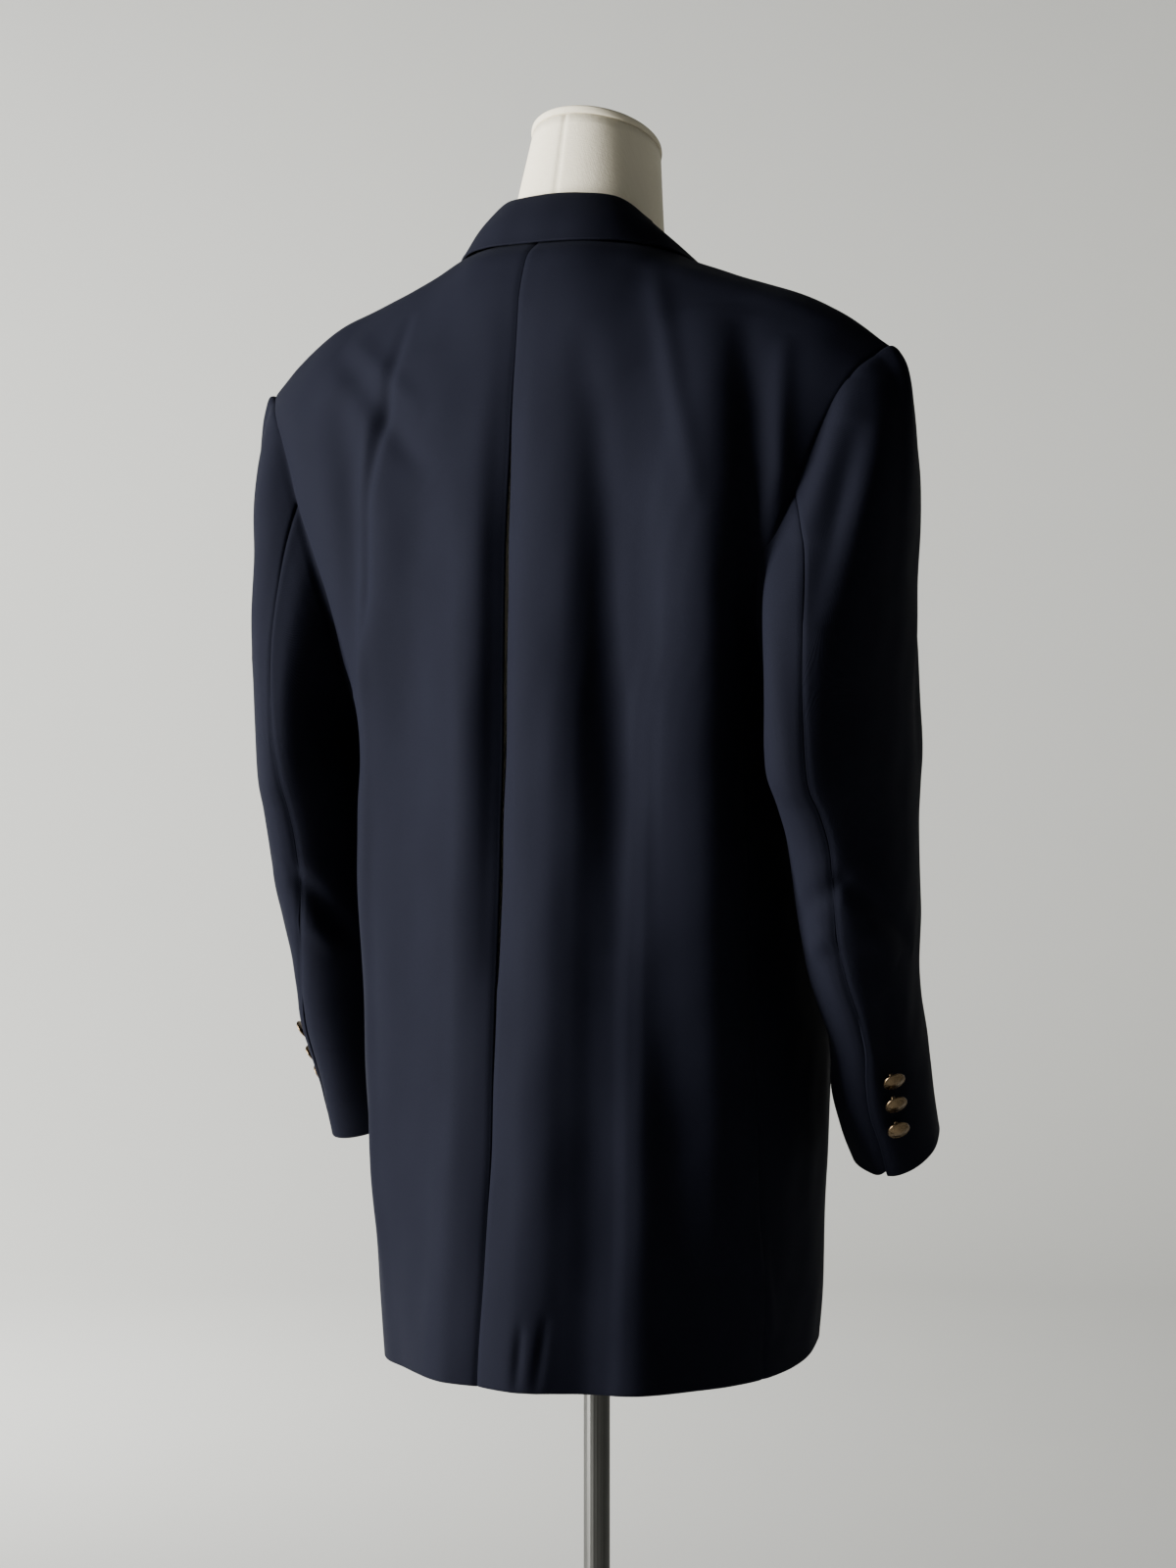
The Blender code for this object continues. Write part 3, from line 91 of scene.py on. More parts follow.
# one row a level: height, half widths behind and in front, narrower left, depths, squareness
SECTION_COLUMNS = ("height", "back_wide", "front_wide", "skew", "back", "front", "square")
SECTIONS = (
    (0.680, 0.1510, 0.1510, 0.0100, 0.1680, 0.150, 2.0),
    (0.740, 0.1565, 0.1565, 0.0070, 0.1606, 0.150, 2.0),
    (0.800, 0.1610, 0.1610, 0.0040, 0.1530, 0.148, 2.1),
    (0.870, 0.1640, 0.1640, 0.0015, 0.1475, 0.146, 2.2),
    (0.940, 0.1660, 0.1660, 0.0000, 0.1446, 0.144, 2.3),
    (1.040, 0.1680, 0.1680, 0.0000, 0.1395, 0.142, 2.6),
    (1.110, 0.1690, 0.1690, 0.0000, 0.1356, 0.140, 2.8),
    (1.145, 0.1715, 0.1715, 0.0000, 0.1348, 0.138, 2.8),
    (1.200, 0.1960, 0.1730, 0.0000, 0.1340, 0.136, 2.6),
    (1.260, 0.2280, 0.1790, 0.0000, 0.1330, 0.133, 2.5),
    (1.310, 0.2560, 0.1930, 0.0000, 0.1305, 0.126, 2.5),
    (1.356, 0.2720, 0.2200, 0.0000, 0.1255, 0.116, 2.5),
    (1.425, 0.2950, 0.2600, 0.0000, 0.1210, 0.098, 2.5),
    (1.500, 0.3200, 0.3000, 0.0000, 0.1230, 0.080, 2.5),
)

# shoulder line seen from behind: distance from the middle, height
SHOULDER_LINE = (
    (0.0000, 1.4870), (0.0400, 1.4885), (0.0755, 1.4880), (0.0950, 1.4795), (0.1430, 1.4615),
    (0.1800, 1.4465), (0.2100, 1.4285), (0.2300, 1.4140), (0.2515, 1.3985), (0.2800, 1.3750),
)
# back neckline in plan: distance from the middle, depth behind the pole
BACK_NECKLINE = ((0.0000, 0.0800), (0.0300, 0.0755), (0.0550, 0.0630), (NECK_POINT, SHOULDER_LINE_DEPTH))

# one row a point of the armhole: turn from the shoulder point backward, side, depth, height
ARMHOLE = (
    (0.0, 0.2515, 0.0450, 1.3985),
    (25.0, 0.2360, 0.0680, 1.3790),
    (50.0, 0.2180, 0.0810, 1.3420),
    (65.0, 0.2070, 0.0870, 1.3140),
    (90.0, 0.1850, 0.0950, 1.2580),
    (125.0, 0.1745, 0.0780, 1.1980),
    (150.0, 0.1715, 0.0520, 1.1600),
    (180.0, 0.1700, 0.0180, 1.1450),
    (210.0, 0.1690, -0.0180, 1.1570),
    (235.0, 0.1665, -0.0440, 1.1900),
    (270.0, 0.1680, -0.0600, 1.2500),
    (300.0, 0.1840, -0.0520, 1.3140),
    (330.0, 0.2200, -0.0120, 1.3680),
    (360.0, 0.2515, 0.0450, 1.3985),
)

ARMHOLE_CENTRE = (0.10, 0.0, 1.30)
SHOULDER_WAY = (0.35, 0.0, 0.94)
# how much nearer the middle the left armhole lies, by the same turn
ARMHOLE_LEFT_IN = (
    (0.0, 0.000), (40.0, 0.004), (90.0, 0.008), (115.0, 0.009), (145.0, 0.001), (180.0, 0.000),
    (360.0, 0.000),
)
# how much lower the right shoulder lies, by the distance from the middle
RIGHT_DROP = (
    (0.000, 0.000), (0.030, 0.002), (0.060, 0.004), (0.170, 0.0045), (SHOULDER_POINT, 0.000), (0.300, 0.000),
)

# back seam between back and side panel, front seam between side and front: height, turn from the centre back
BACK_SEAM_TURN = ((0.680, 76.0), (0.860, 70.0), (1.050, 66.0), (1.198, 64.0))
FRONT_SEAM_TURN = ((0.680, 118.0), (0.860, 114.0), (1.050, 112.0), (1.190, 110.0))

# hem height by turn from the centre back, wearer's left then right
HEM_LEFT = (
    (0.0, 0.7050), (20.0, 0.7065), (45.0, 0.7060), (90.0, 0.7000), (130.0, 0.7000), (180.0, 0.7000),
)
HEM_RIGHT = (
    (0.0, 0.7050), (45.0, 0.7035), (90.0, 0.7080), (115.0, 0.7220), (150.0, 0.7120), (180.0, 0.7000),
)

# soft vertical folds on the back: side at top, side at hem, top height, foot height, half width, rise
BACK_FOLDS_LEFT = (
    (0.000, 0.000, 1.470, 0.660, 0.011, -0.0040),
    (0.024, 0.030, 1.400, 0.760, 0.015, 0.0030),
    (0.070, 0.078, 1.360, 0.660, 0.020, -0.0022),
    (0.128, 0.118, 1.330, 0.660, 0.022, 0.0030),
)
BACK_FOLDS_RIGHT = (
    (0.000, 0.000, 1.470, 0.660, 0.011, -0.0040),
    (0.042, 0.036, 1.420, 0.700, 0.018, 0.0036),
    (0.086, 0.072, 1.400, 0.640, 0.019, -0.0060),
    (0.132, 0.110, 1.440, 0.640, 0.022, 0.0075),
    (0.166, 0.150, 1.300, 0.900, 0.014, -0.0050),
)
FOLD_TOP_SPREAD = 0.8
FOLD_SPREAD_GROWTH = 0.5
FOLD_ONSET = 3.0

# one row a ring below the armpit: height, side, depth, half across, half deep, inward turn, back seam angle
SLEEVE_COLUMNS = ("height", "side", "depth", "across", "deep", "turn", "seam")
SLEEVE_LEFT = (
    (1.125, 0.2075, 0.0330, 0.0350, 0.078, 0.0, 100.0),
    (1.082, 0.2075, 0.0260, 0.0350, 0.068, 3.0, 107.0),
    (1.037, 0.2100, 0.0170, 0.0350, 0.060, 6.0, 106.0),
    (0.994, 0.2110, 0.0040, 0.0340, 0.056, 9.0, 90.0),
    (0.941, 0.2120, -0.0150, 0.0320, 0.055, 13.0, 76.0),
    (0.900, 0.2090, -0.0320, 0.0310, 0.055, 17.0, 69.0),
    (0.862, 0.2095, -0.0490, 0.0300, 0.055, 20.0, 60.0),
)
SLEEVE_RIGHT = (
    (1.125, 0.2145, 0.0360, 0.0410, 0.088, 0.0, 75.0),
    (1.082, 0.2155, 0.0280, 0.0415, 0.070, 3.0, 77.0),
    (1.037, 0.2165, 0.0190, 0.0400, 0.066, 6.0, 84.0),
    (0.994, 0.2150, 0.0060, 0.0375, 0.062, 9.0, 86.0),
    (0.941, 0.2160, -0.0140, 0.0330, 0.055, 13.0, 88.0),
    (0.900, 0.2110, -0.0310, 0.0350, 0.057, 17.0, 93.0),
    (0.862, 0.2130, -0.0480, 0.0315, 0.055, 20.0, 102.0),
)
ARMHOLE_SEAM_LEFT = 66.0
ARMHOLE_SEAM_RIGHT = 72.0
UNDER_SEAM_ANGLE = 232.0
CAP_ROWS = 8
HEAD_CROWDING = 1.4
FOREARM_ROWS = 12
UPPER_FRONT_COLUMNS = 8
UPPER_BACK_COLUMNS = 6
UNDER_COLUMNS = 9
CAP_ARRIVE = 0.45
VENT_NOTCH = 0.004
AXIS_STEP = 0.006
SLEEVE_TURN_STEP = 2.0
SLEEVE_LENGTH_STEP = 0.02
# how the sleeve leaves the armhole: turn, sideways, back, up, share of the cap it keeps that way
CAP_LEAVE_WAYS = (
    (0.0, 0.55, 0.00, -0.83, 0.15), (90.0, 0.25, 0.60, -0.76, 0.36), (140.0, 0.45, 0.50, -0.74, 0.40),
    (180.0, 0.85, 0.05, -0.50, 0.42), (225.0, 0.70, -0.20, -0.65, 0.42), (270.0, 0.45, -0.30, -0.85, 0.36),
    (360.0, 0.55, 0.00, -0.83, 0.15),
)
RIGHT_HEAD_OUT = 0.90
# one row a cuff button: length down the sleeve, turn from the back seam, sag on its shank
CUFF_BUTTONS_LEFT = ((1.704, 32.0, 27.0), (1.772, 32.0, 31.0), (1.840, 32.0, 32.0))
CUFF_BUTTONS_RIGHT = ((1.732, 27.0, 27.0), (1.788, 28.0, 31.0), (1.860, 24.0, 32.0))
FRONT_BUTTON_HEIGHTS = (1.015, 0.905)

BACK_COLUMNS = 14
LOW_ROWS = 14
BACK_HIGH_ROWS = 12
SHOULDER_CROWDING = 1.3
FRONT_CROWDING = 0.9
SHOULDER_SEARCH_FOOT = 1.20
SLOPE_STEP = 0.002
SIDE_COLUMNS = 7
FRONT_COLUMNS = 11
FRONT_HIGH_ROWS = 11

# how the lapel's inner edge turns under the roll: across, stand-off from the front
LAPEL_TURN_UNDER = ((-0.0030, -0.0010), (-0.0024, 0.0036))
LAPEL_START_IN = 0.0015
# lapel, one row a station up the roll line: height on the roll line, width, droop of its outer edge
LAPEL = (
    (1.040, 0.004, 0.000), (1.100, 0.034, 0.000), (1.180, 0.058, 0.004), (1.260, 0.072, 0.014),
    (1.330, 0.080, 0.030), (1.410, 0.083, 0.052),
)
LAPEL_ROWS = 11
LAPEL_COLUMNS = 7
LAPEL_RIGHT_START = 1.135
LAPEL_BULGE = 0.0030
LAPEL_BULGE_START = 0.12
LAPEL_BULGE_SPEED = 1.15
DROOP_POWER = 1.5
GORGE_START = 1.4165
GORGE_END_HEIGHT = 1.385
NOTCH_DROP = 0.030
NOTCH_SHARE = 0.60

# collar, one row a station from the centre back to the front end
COLLAR_COLUMNS = (
    "station", "neck_side", "neck_height", "roll_side", "roll_depth", "roll_height",
    "fall_side", "fall_depth",
)
COLLAR = (
    (0.0, 0.0000, 1.4870, 0.0000, 0.0670, 1.5210, 0.0000, 0.0890),
    (1.0, 0.0300, 1.4882, 0.0280, 0.0635, 1.5215, 0.0320, 0.0855),
    (2.0, 0.0550, 1.4884, 0.0475, 0.0505, 1.5200, 0.0620, 0.0720),
    (3.0, 0.0755, 1.4880, 0.0590, 0.0270, 1.5080, 0.0880, 0.0460),
    (4.0, 0.0735, 1.4750, 0.0620, -0.0020, 1.4850, 0.1030, 0.0060),
    (5.0, 0.0680, 1.4500, 0.0605, -0.0350, 1.4580, 0.1160, -0.0380),
    (6.0, 0.0620, 1.4180, 0.0570, -0.0670, 1.4250, 0.1200, -0.0780),
)
SHOULDER_STATION = 3.0
NECK_CENTRE_DEPTH = 0.005
COLLAR_GAP = 0.0018
ROLL_RADIUS = 0.0034
FALL_BULGE = 0.0018
FALL_STAND_OFF = 1.15
COLLAR_STATIONS = 25

# dress form, one row a level: height, half width, back depth, front depth
FORM = (
    (0.760, 0.1400, 0.120, 0.118),
    (0.800, 0.1480, 0.126, 0.124),
    (0.870, 0.1520, 0.126, 0.126),
    (0.960, 0.1480, 0.116, 0.118),
    (1.050, 0.1400, 0.104, 0.108),
    (1.130, 0.1440, 0.108, 0.116),
    (1.220, 0.1520, 0.114, 0.124),
    (1.300, 0.1640, 0.112, 0.116),
    (1.350, 0.1720, 0.106, 0.100),
    (1.395, 0.1750, 0.104, 0.086),
    (1.440, 0.1720, 0.100, 0.070),
    (1.500, 0.1600, 0.090, 0.050),
)
FORM_SIDES = 32
# neck of the form, one row a ring: height, half width, half depth, depth of its middle
NECK = (
    (1.487, 0.0600, 0.0510, 0.0170),
    (1.503, 0.0570, 0.0490, 0.0140),
    (1.530, 0.0525, 0.0470, 0.0080),
    (1.566, 0.0465, 0.0450, 0.0000),
)
FORM_AXIS_DEPTH = 0.020
FORM_SQUARE = 2.3
FORM_LIMIT_HEIGHT = 1.30
FORM_SEARCH_START = 0.02
FORM_LEVELS = (
    0.760, 0.772, 0.800, 0.840, 0.890, 0.950, 1.010, 1.070, 1.130, 1.190, 1.250, 1.310, 1.360, 1.400,
    1.425, 1.440, 1.450, 1.458, 1.465, 1.472, 1.479,
)
NECK_TOP_TILT = 0.34
NECK_CAP_THICKNESS = 0.009
NECK_CAP_GAP = 0.0004
QUARTER_TURNS = (0.0, 90.0, 180.0, 270.0)

# ---------------------------------------------------------------- finer cloth
GRID_STEPS = 8
# places of the extra rows at a sewn or folded edge, in place of the even ones within the margin
EDGE_STEPS = (0.05, 0.12, 0.22)
EDGE_MARGIN = 0.3
BODY_MIDDLE = (0.0, 0.0, 1.05)
LAPEL_MIDDLE = (0.0, 0.0, 1.20)
COLLAR_MIDDLE_SHARE = 0.35
SEAM_DEPTH = 0.0011
SEAM_WIDTH = 0.0024
RIM_BULGE = 0.0007
VENT_LIFT = 0.0013
VENT_START = 0.76
VENT_FADE = 0.03
VENT_WIDTH = 0.010
FALL_PRESS = 0.0022
FALL_PRESS_WIDTH = 0.014
HEAD_TUCK = 0.0030
HEAD_TUCK_DEPTH = 0.0034

# broad unevenness of the cloth: wavelength, height
RIPPLES = ((0.170, 0.0014), (0.080, 0.0008), (0.034, 0.00022))
RIPPLE_SEED = 7
RIPPLE_WAVES = 5
RIPPLE_SHARE = 0.45
RIPPLE_UPRIGHT = 0.45
RIPPLE_STRETCH = (0.75, 1.35)
CREASE_STRENGTH = 1.45
CREASE_FADE_POWER = 0.6

# creases: half width, rise (below zero for a trough), then the places that each one passes
BODY_CREASES = (
    (0.0080, 0.0024, ((0.1240, 0.1144, 1.3900), (0.1236, 0.1212, 1.3028), (0.1297, 0.1160, 1.2218),
                      (0.1280, 0.1150, 1.1000), (0.1200, 0.1130, 0.9500), (0.1131, 0.1133, 0.8329),
                      (0.1003, 0.1200, 0.7300))),
    (0.0100, -0.0020, ((0.1700, 0.0830, 1.4220), (0.1195, 0.1101, 1.3790), (0.0910, 0.1215, 1.3484),
                       (0.0600, 0.1270, 1.3200))),
    (0.0090, 0.0015, ((0.1600, 0.0850, 1.4350), (0.1100, 0.1080, 1.3980), (0.0720, 0.1220, 1.3680))),
    (0.0130, -0.0042, ((0.0000, 0.1100, 1.4400), (0.0006, 0.1233, 1.3560), (0.0011, 0.1288, 1.2954),
                       (0.0016, 0.1305, 1.2153), (0.0023, 0.1319, 1.1353), (0.0018, 0.1353, 1.0554),
                       (0.0010, 0.1400, 0.9700))),
    (0.0140, -0.0036, ((-0.0501, 0.1093, 1.4208), (-0.0680, 0.1217, 1.3584), (-0.0756, 0.1270, 1.3049),
                       (-0.0755, 0.1268, 1.2395), (-0.0785, 0.1242, 1.1609), (-0.0831, 0.1244, 1.0758),
                       (-0.0885, 0.1259, 0.9910))),
    (0.0280, -0.0066, ((-0.0819, 0.1142, 1.3846), (-0.0983, 0.1220, 1.3368), (-0.1050, 0.1260, 1.2775),
                       (-0.1062, 0.1254, 1.2125), (-0.1084, 0.1241, 1.1344), (-0.1116, 0.1245, 1.0565),
                       (-0.1159, 0.1214, 0.9785), (-0.1219, 0.1136, 0.8807), (-0.1245, 0.1101, 0.7828),
                       (-0.1246, 0.1103, 0.6900))),
    (0.0240, 0.0082, ((-0.1400, 0.0860, 1.4300), (-0.1489, 0.1090, 1.3545), (-0.1510, 0.1156, 1.3020),
                      (-0.1501, 0.1111, 1.2378), (-0.1465, 0.0988, 1.1605), (-0.1450, 0.0932, 1.0758),
                      (-0.1436, 0.0877, 0.9776), (-0.1426, 0.0830, 0.8789), (-0.1426, 0.0801, 0.7800))),
    (0.0065, -0.0030, ((0.1000, 0.0900, 1.4440), (0.1091, 0.1131, 1.3745), (0.1203, 0.1212, 1.3157),
                       (0.1234, 0.1202, 1.2470), (0.1325, 0.1106, 1.1854))),
    (0.0180, -0.0060, ((0.1577, 0.0976, 1.3901), (0.1404, 0.1138, 1.3383), (0.1337, 0.1187, 1.2890),
                       (0.1372, 0.1137, 1.2340), (0.1450, 0.0950, 1.1700))),
    (0.0280, -0.0036, ((0.0920, 0.1077, 1.4049), (0.0847, 0.1224, 1.3479), (0.0826, 0.1279, 1.2859),
                       (0.0866, 0.1268, 1.2180), (0.0912, 0.1249, 1.1362), (0.0917, 0.1265, 1.0542))),
    (0.0080, 0.0018, ((-0.0872, 0.0763, 1.4624), (-0.1115, 0.0999, 1.4105), (-0.1251, 0.1113, 1.3688),
                      (-0.1358, 0.1174, 1.3350), (-0.1439, 0.1187, 1.2900))),
    (0.0110, -0.0040, ((-0.1600, 0.0830, 1.4200), (-0.1750, 0.1004, 1.3538), (-0.1789, 0.1023, 1.2888),
                       (-0.1732, 0.0869, 1.2124), (-0.1637, 0.0651, 1.1480))),
    (0.0080, 0.0024, ((-0.1902, 0.0817, 1.4060), (-0.1936, 0.0957, 1.3144), (-0.1805, 0.0983, 1.2633))),
    (0.0034, -0.0013, ((-0.0334, 0.1597, 0.7500), (-0.0323, 0.1641, 0.7030))),
    (0.0034, -0.0011, ((-0.0493, 0.1532, 0.7560), (-0.0443, 0.1600, 0.7030))),
    (0.0070, 0.0018, ((-0.1549, 0.0550, 0.8100), (-0.1575, 0.0455, 0.7630), (-0.1595, 0.0346, 0.7300))),
    (0.0110, -0.0016, ((0.0000, -0.1500, 1.0100), (0.0600, -0.1400, 0.9700), (0.1200, -0.1050, 0.9100))),
    (0.0110, -0.0014, ((-0.0200, -0.1480, 1.0050), (-0.0800, -0.1330, 0.9600), (-0.1300, -0.0950, 0.9000))),
    (0.0120, -0.0018, ((0.1500, -0.0750, 1.2600), (0.1300, -0.1050, 1.2000), (0.1150, -0.1150, 1.1200))),
    (0.0120, -0.0018, ((-0.1500, -0.0750, 1.2500), (-0.1280, -0.1060, 1.1900), (-0.1100, -0.1180, 1.1100))),
)
RIGHT_SLEEVE_CREASES = (
    (0.0110, 0.0028, ((-0.2361, 0.0731, 1.3750), (-0.2298, 0.0897, 1.3194), (-0.2153, 0.1037, 1.2650))),
    (0.0110, -0.0034, ((-0.2430, 0.0820, 1.3450), (-0.2363, 0.1034, 1.2796), (-0.2298, 0.1191, 1.2100))),
    (0.0080, -0.0026, ((-0.1950, 0.0760, 1.0180), (-0.2126, 0.0834, 1.0311), (-0.2340, 0.0837, 1.0443),
                       (-0.2501, 0.0575, 1.0245), (-0.2560, 0.0100, 0.9980))),
    (0.0080, 0.0020, ((-0.1980, 0.0700, 0.9930), (-0.2200, 0.0780, 1.0080), (-0.2430, 0.0620, 1.0080),
                      (-0.2540, 0.0350, 0.9900))),
    (0.0090, -0.0020, ((-0.2450, 0.0450, 0.9700), (-0.2400, 0.0250, 0.9300), (-0.2420, 0.0050, 0.9000))),
    (0.0100, -0.0022, ((-0.2560, -0.0300, 1.0600), (-0.2400, -0.0420, 1.0150), (-0.2150, -0.0480, 0.9900))),
    (0.0120, -0.0022, ((-0.2500, -0.0200, 1.2800), (-0.2500, -0.0050, 1.2000), (-0.2480, 0.0100, 1.1300))),
)
LEFT_SLEEVE_CREASES = (
    (0.0110, 0.0024, ((0.2300, 0.0700, 1.3700), (0.2260, 0.0850, 1.3100), (0.2150, 0.0950, 1.2500))),
    (0.0110, -0.0028, ((0.2400, 0.0600, 1.3400), (0.2380, 0.0800, 1.2700), (0.2300, 0.0950, 1.2000))),
    (0.0080, -0.0028, ((0.2280, 0.0760, 1.0580), (0.2081, 0.0817, 1.0449), (0.1981, 0.0712, 1.0305),
                       (0.1917, 0.0554, 1.0121), (0.1860, 0.0350, 0.9900))),
    (0.0080, 0.0020, ((0.2200, 0.0680, 1.0250), (0.2050, 0.0650, 1.0080), (0.1920, 0.0450, 0.9850))),
    (0.0100, -0.0020, ((0.2440, 0.0100, 1.0500), (0.2420, -0.0150, 1.0050), (0.2300, -0.0400, 0.9700))),
    (0.0120, -0.0020, ((0.2480, 0.0100, 1.2600), (0.2460, 0.0150, 1.1800), (0.2440, 0.0250, 1.1000))),
)

# ---------------------------------------------------------------- finer buttons and form
BUTTON_TURNS = 48
BUTTON_SINK = 0.0006
BUTTON_SHARP_ANGLE = math.radians(50.0)
# button face from its edge to its crown: share of the radius, share of the dome
BUTTON_FACE = (
    (0.86, 0.00), (0.97, 0.08), (1.00, 0.24), (0.97, 0.42), (0.92, 0.48), (0.88, 0.44),
    (0.80, 0.52), (0.62, 0.74), (0.36, 0.93), (0.00, 1.00),
)
FORM_STEPS = 6
FORM_SEAM_DEPTH = 0.0011
NECK_BASE_HEIGHT = 1.43
# neck cap from its lower edge to its middle: how far out of the neck's last ring, share of its thickness
NECK_CAP_FACE = (
    (-0.0030, 0.02), (0.0000, 0.03), (0.0007, 0.12), (0.0008, 0.32), (0.0002, 0.55), (-0.0025, 0.76),
    (-0.0070, 0.88), (-0.0200, 0.98), (-0.0340, 1.02),
)
NECK_CAP_STEPS = 4

# ---------------------------------------------------------------- colours and finishes
# colours as a dark one and a light one, finishes by the shader's own sockets
WOOL = ((0.0028, 0.0032, 0.0066), (0.0082, 0.0092, 0.0174))
WOOL_TINTS = ((0.82, 0.82, 0.84), (1.12, 1.12, 1.10))
LINEN = ((0.70, 0.63, 0.46), (0.98, 0.92, 0.76))
CAP_LINEN = ((0.68, 0.61, 0.44), (0.96, 0.90, 0.74))
AGED_GILT = ((0.075, 0.050, 0.026), (0.27, 0.195, 0.115))
POLE_STEEL = ((0.045, 0.045, 0.042), (0.20, 0.20, 0.19))
FOOT_STEEL = ((0.22, 0.22, 0.21), (0.34, 0.34, 0.33))
STAGE_PAINT = (0.42, 0.42, 0.405)
STAGE_MOTTLE = 0.97
WOOL_FINISH = {
    "Roughness": 0.80, "Specular IOR Level": 0.05, "Sheen Weight": 0.02, "Sheen Roughness": 0.40,
    "Sheen Tint": (0.60, 0.65, 0.80, 1.0),
}
LINEN_FINISH = {"Roughness": 0.92, "Specular IOR Level": 0.2, "Sheen Weight": 0.15}
PAINT_FINISH = {"Roughness": 0.95}
METAL_FINISH = {"Metallic": 1.0}
METAL_GLOSS_RANGE = (0.75, 1.35)

# ---------------------------------------------------------------- stage, light and camera sizes
LOOK_ANGLE = math.radians(30.0)
LOOK_ALONG = np.array((math.sin(LOOK_ANGLE), -math.cos(LOOK_ANGLE), 0.0))
LOOK_RIGHT = np.array((-math.cos(LOOK_ANGLE), -math.sin(LOOK_ANGLE), 0.0))
CAMERA_DISTANCE = 2.10
CAMERA_HEIGHT = 1.10
CAMERA_LENS = 67.1
CAMERA_SENSOR = 36.0
CAMERA_SHIFT = (-9.0 / 1600.0, 13.0 / 1600.0)
STAGE_RADIUS = 6.5
STAGE_BEND_RADIUS = 2.0
STAGE_BEND_STEPS = 12
STAGE_FLOOR_RADII = (0.0, 1.5, 3.5)
STAGE_TOP = 7.0
STAGE_SIDES = 96
STAGE_DROP = 0.0005
# one row a light: name, place, target (left of the view, toward it, up), width and height, power, colour
LIGHTS = (
    ("key_light", (2.35, 0.48, 1.35), (0.0, 0.0, 1.05), (1.0, 1.8), 255.0, (1.0, 0.99, 0.97)),
    ("fill_light", (-2.8, 1.6, 1.4), (0.0, 0.0, 1.1), (1.8, 1.8), 2.0, (0.92, 0.96, 1.0)),
    ("wall_light", (2.6, -2.4, 2.2), (0.9, -6.0, 1.2), (2.0, 2.0), 520.0, (1.0, 1.0, 0.97)),
)
SURROUND_COLOR = (0.93, 0.95, 1.0, 1.0)
SURROUND_STRENGTH = 0.06


# ---------------------------------------------------------------- forms shared with the solids
def smooth_rows(rows, value):
    """Read a table by its first column with a smooth curve through the rows."""
    table = np.asarray(rows, float)
    keys = table[:, 0]
    slopes = np.gradient(table[:, 1:], keys, axis=0)
    value = float(np.clip(value, keys[0], keys[-1]))
    low = int(np.clip(np.searchsorted(keys, value) - 1, 0, len(keys) - 2))
    span = keys[low + 1] - keys[low]
    part = (value - keys[low]) / span
    ease_two = part * part
    ease_three = ease_two * part
    return ((2 * ease_three - 3 * ease_two + 1) * table[low, 1:]
            + (ease_three - 2 * ease_two + part) * span * slopes[low]
            + (3 * ease_two - 2 * ease_three) * table[low + 1, 1:]
            + (ease_three - ease_two) * span * slopes[low + 1])


def read_curve(rows, value):
    """Read one number from a two-column table."""
    return float(smooth_rows(rows, value)[0])


def ease(value):
    """Zero to one with flat ends."""
    value = min(max(value, 0.0), 1.0)
    return value * value * (3.0 - 2.0 * value)


def unit(vector):
    """The vector at length one."""
    vector = np.asarray(vector, float)
    return vector / max(float(np.linalg.norm(vector)), 1e-12)


def section_at(height):
    """Named sizes of the garment's section at a height."""
    return dict(zip(SECTION_COLUMNS[1:], smooth_rows(SECTIONS, height)))


def shoulder_line(side, across):
    """Height of the shoulder line at a distance from the middle."""
    across = abs(across)
    drop = read_curve(RIGHT_DROP, across) if side < 0 else 0.0
    return read_curve(SHOULDER_LINE, across) - drop


def neckline_depth(across):
    """Depth of the back's upper edge: the neckline, then the shoulder seam."""
    return read_curve(BACK_NECKLINE, across) if across < NECK_POINT else SHOULDER_LINE_DEPTH


def fold_rise(side, across, height):
    """Rise of the soft vertical folds on the back at one place."""
    rise = 0.0
    for top_side, foot_side, top, foot, wide, depth in (BACK_FOLDS_LEFT if side > 0 else BACK_FOLDS_RIGHT):
        fall = (top - height) / (top - foot)
        if fall <= 0.0:
            continue
        middle = top_side + (foot_side - top_side) * min(fall, 1.0)
        spread = wide * (FOLD_TOP_SPREAD + FOLD_SPREAD_GROWTH * min(fall, 1.0))
        rise += depth * ease(fall * FOLD_ONSET) * math.exp(-((across - middle) / spread) ** 2)
    return rise


def half_width(section, side, front):
    """Half width of a section on one side."""
    wide = section["front_wide"] if front else section["back_wide"]
    return wide - side * section["skew"]


def roll_over(top, height, drop):
    """How far the cloth has turned from the shoulder line to its full depth."""
    part = min(max((top - height) / drop, 0.0), 1.0)
    return (1.0 - (1.0 - part) ** ROLL_POWER) ** (1.0 / ROLL_POWER)


def section_depth(side, across, height, front):
    """Depth of a level section at a distance from the middle."""
    section = section_at(height)
    ratio = min(abs(across) / half_width(section, side, front), WIDEST_SHARE)
    depth = section["front" if front else "back"]
    return depth * (1.0 - ratio ** section["square"]) ** (1.0 / section["square"])


def back_surface(side, across, height, folds=True):
    """Depth of the back at a place."""
    depth = section_depth(side, across, height, False)
    if folds:
        depth += fold_rise(side, abs(across), height)
    end = neckline_depth(abs(across))
    return end + (depth - end) * roll_over(shoulder_line(side, across), height, BACK_ROLL_DROP)


def front_surface(side, across, height):
    """Depth of the front at a place, negative forward."""
    depth = -section_depth(side, across, height, True)
    top = shoulder_line(side, max(abs(across), NECK_POINT))
    return SHOULDER_LINE_DEPTH + (depth - SHOULDER_LINE_DEPTH) * roll_over(top, height, FRONT_ROLL_DROP)


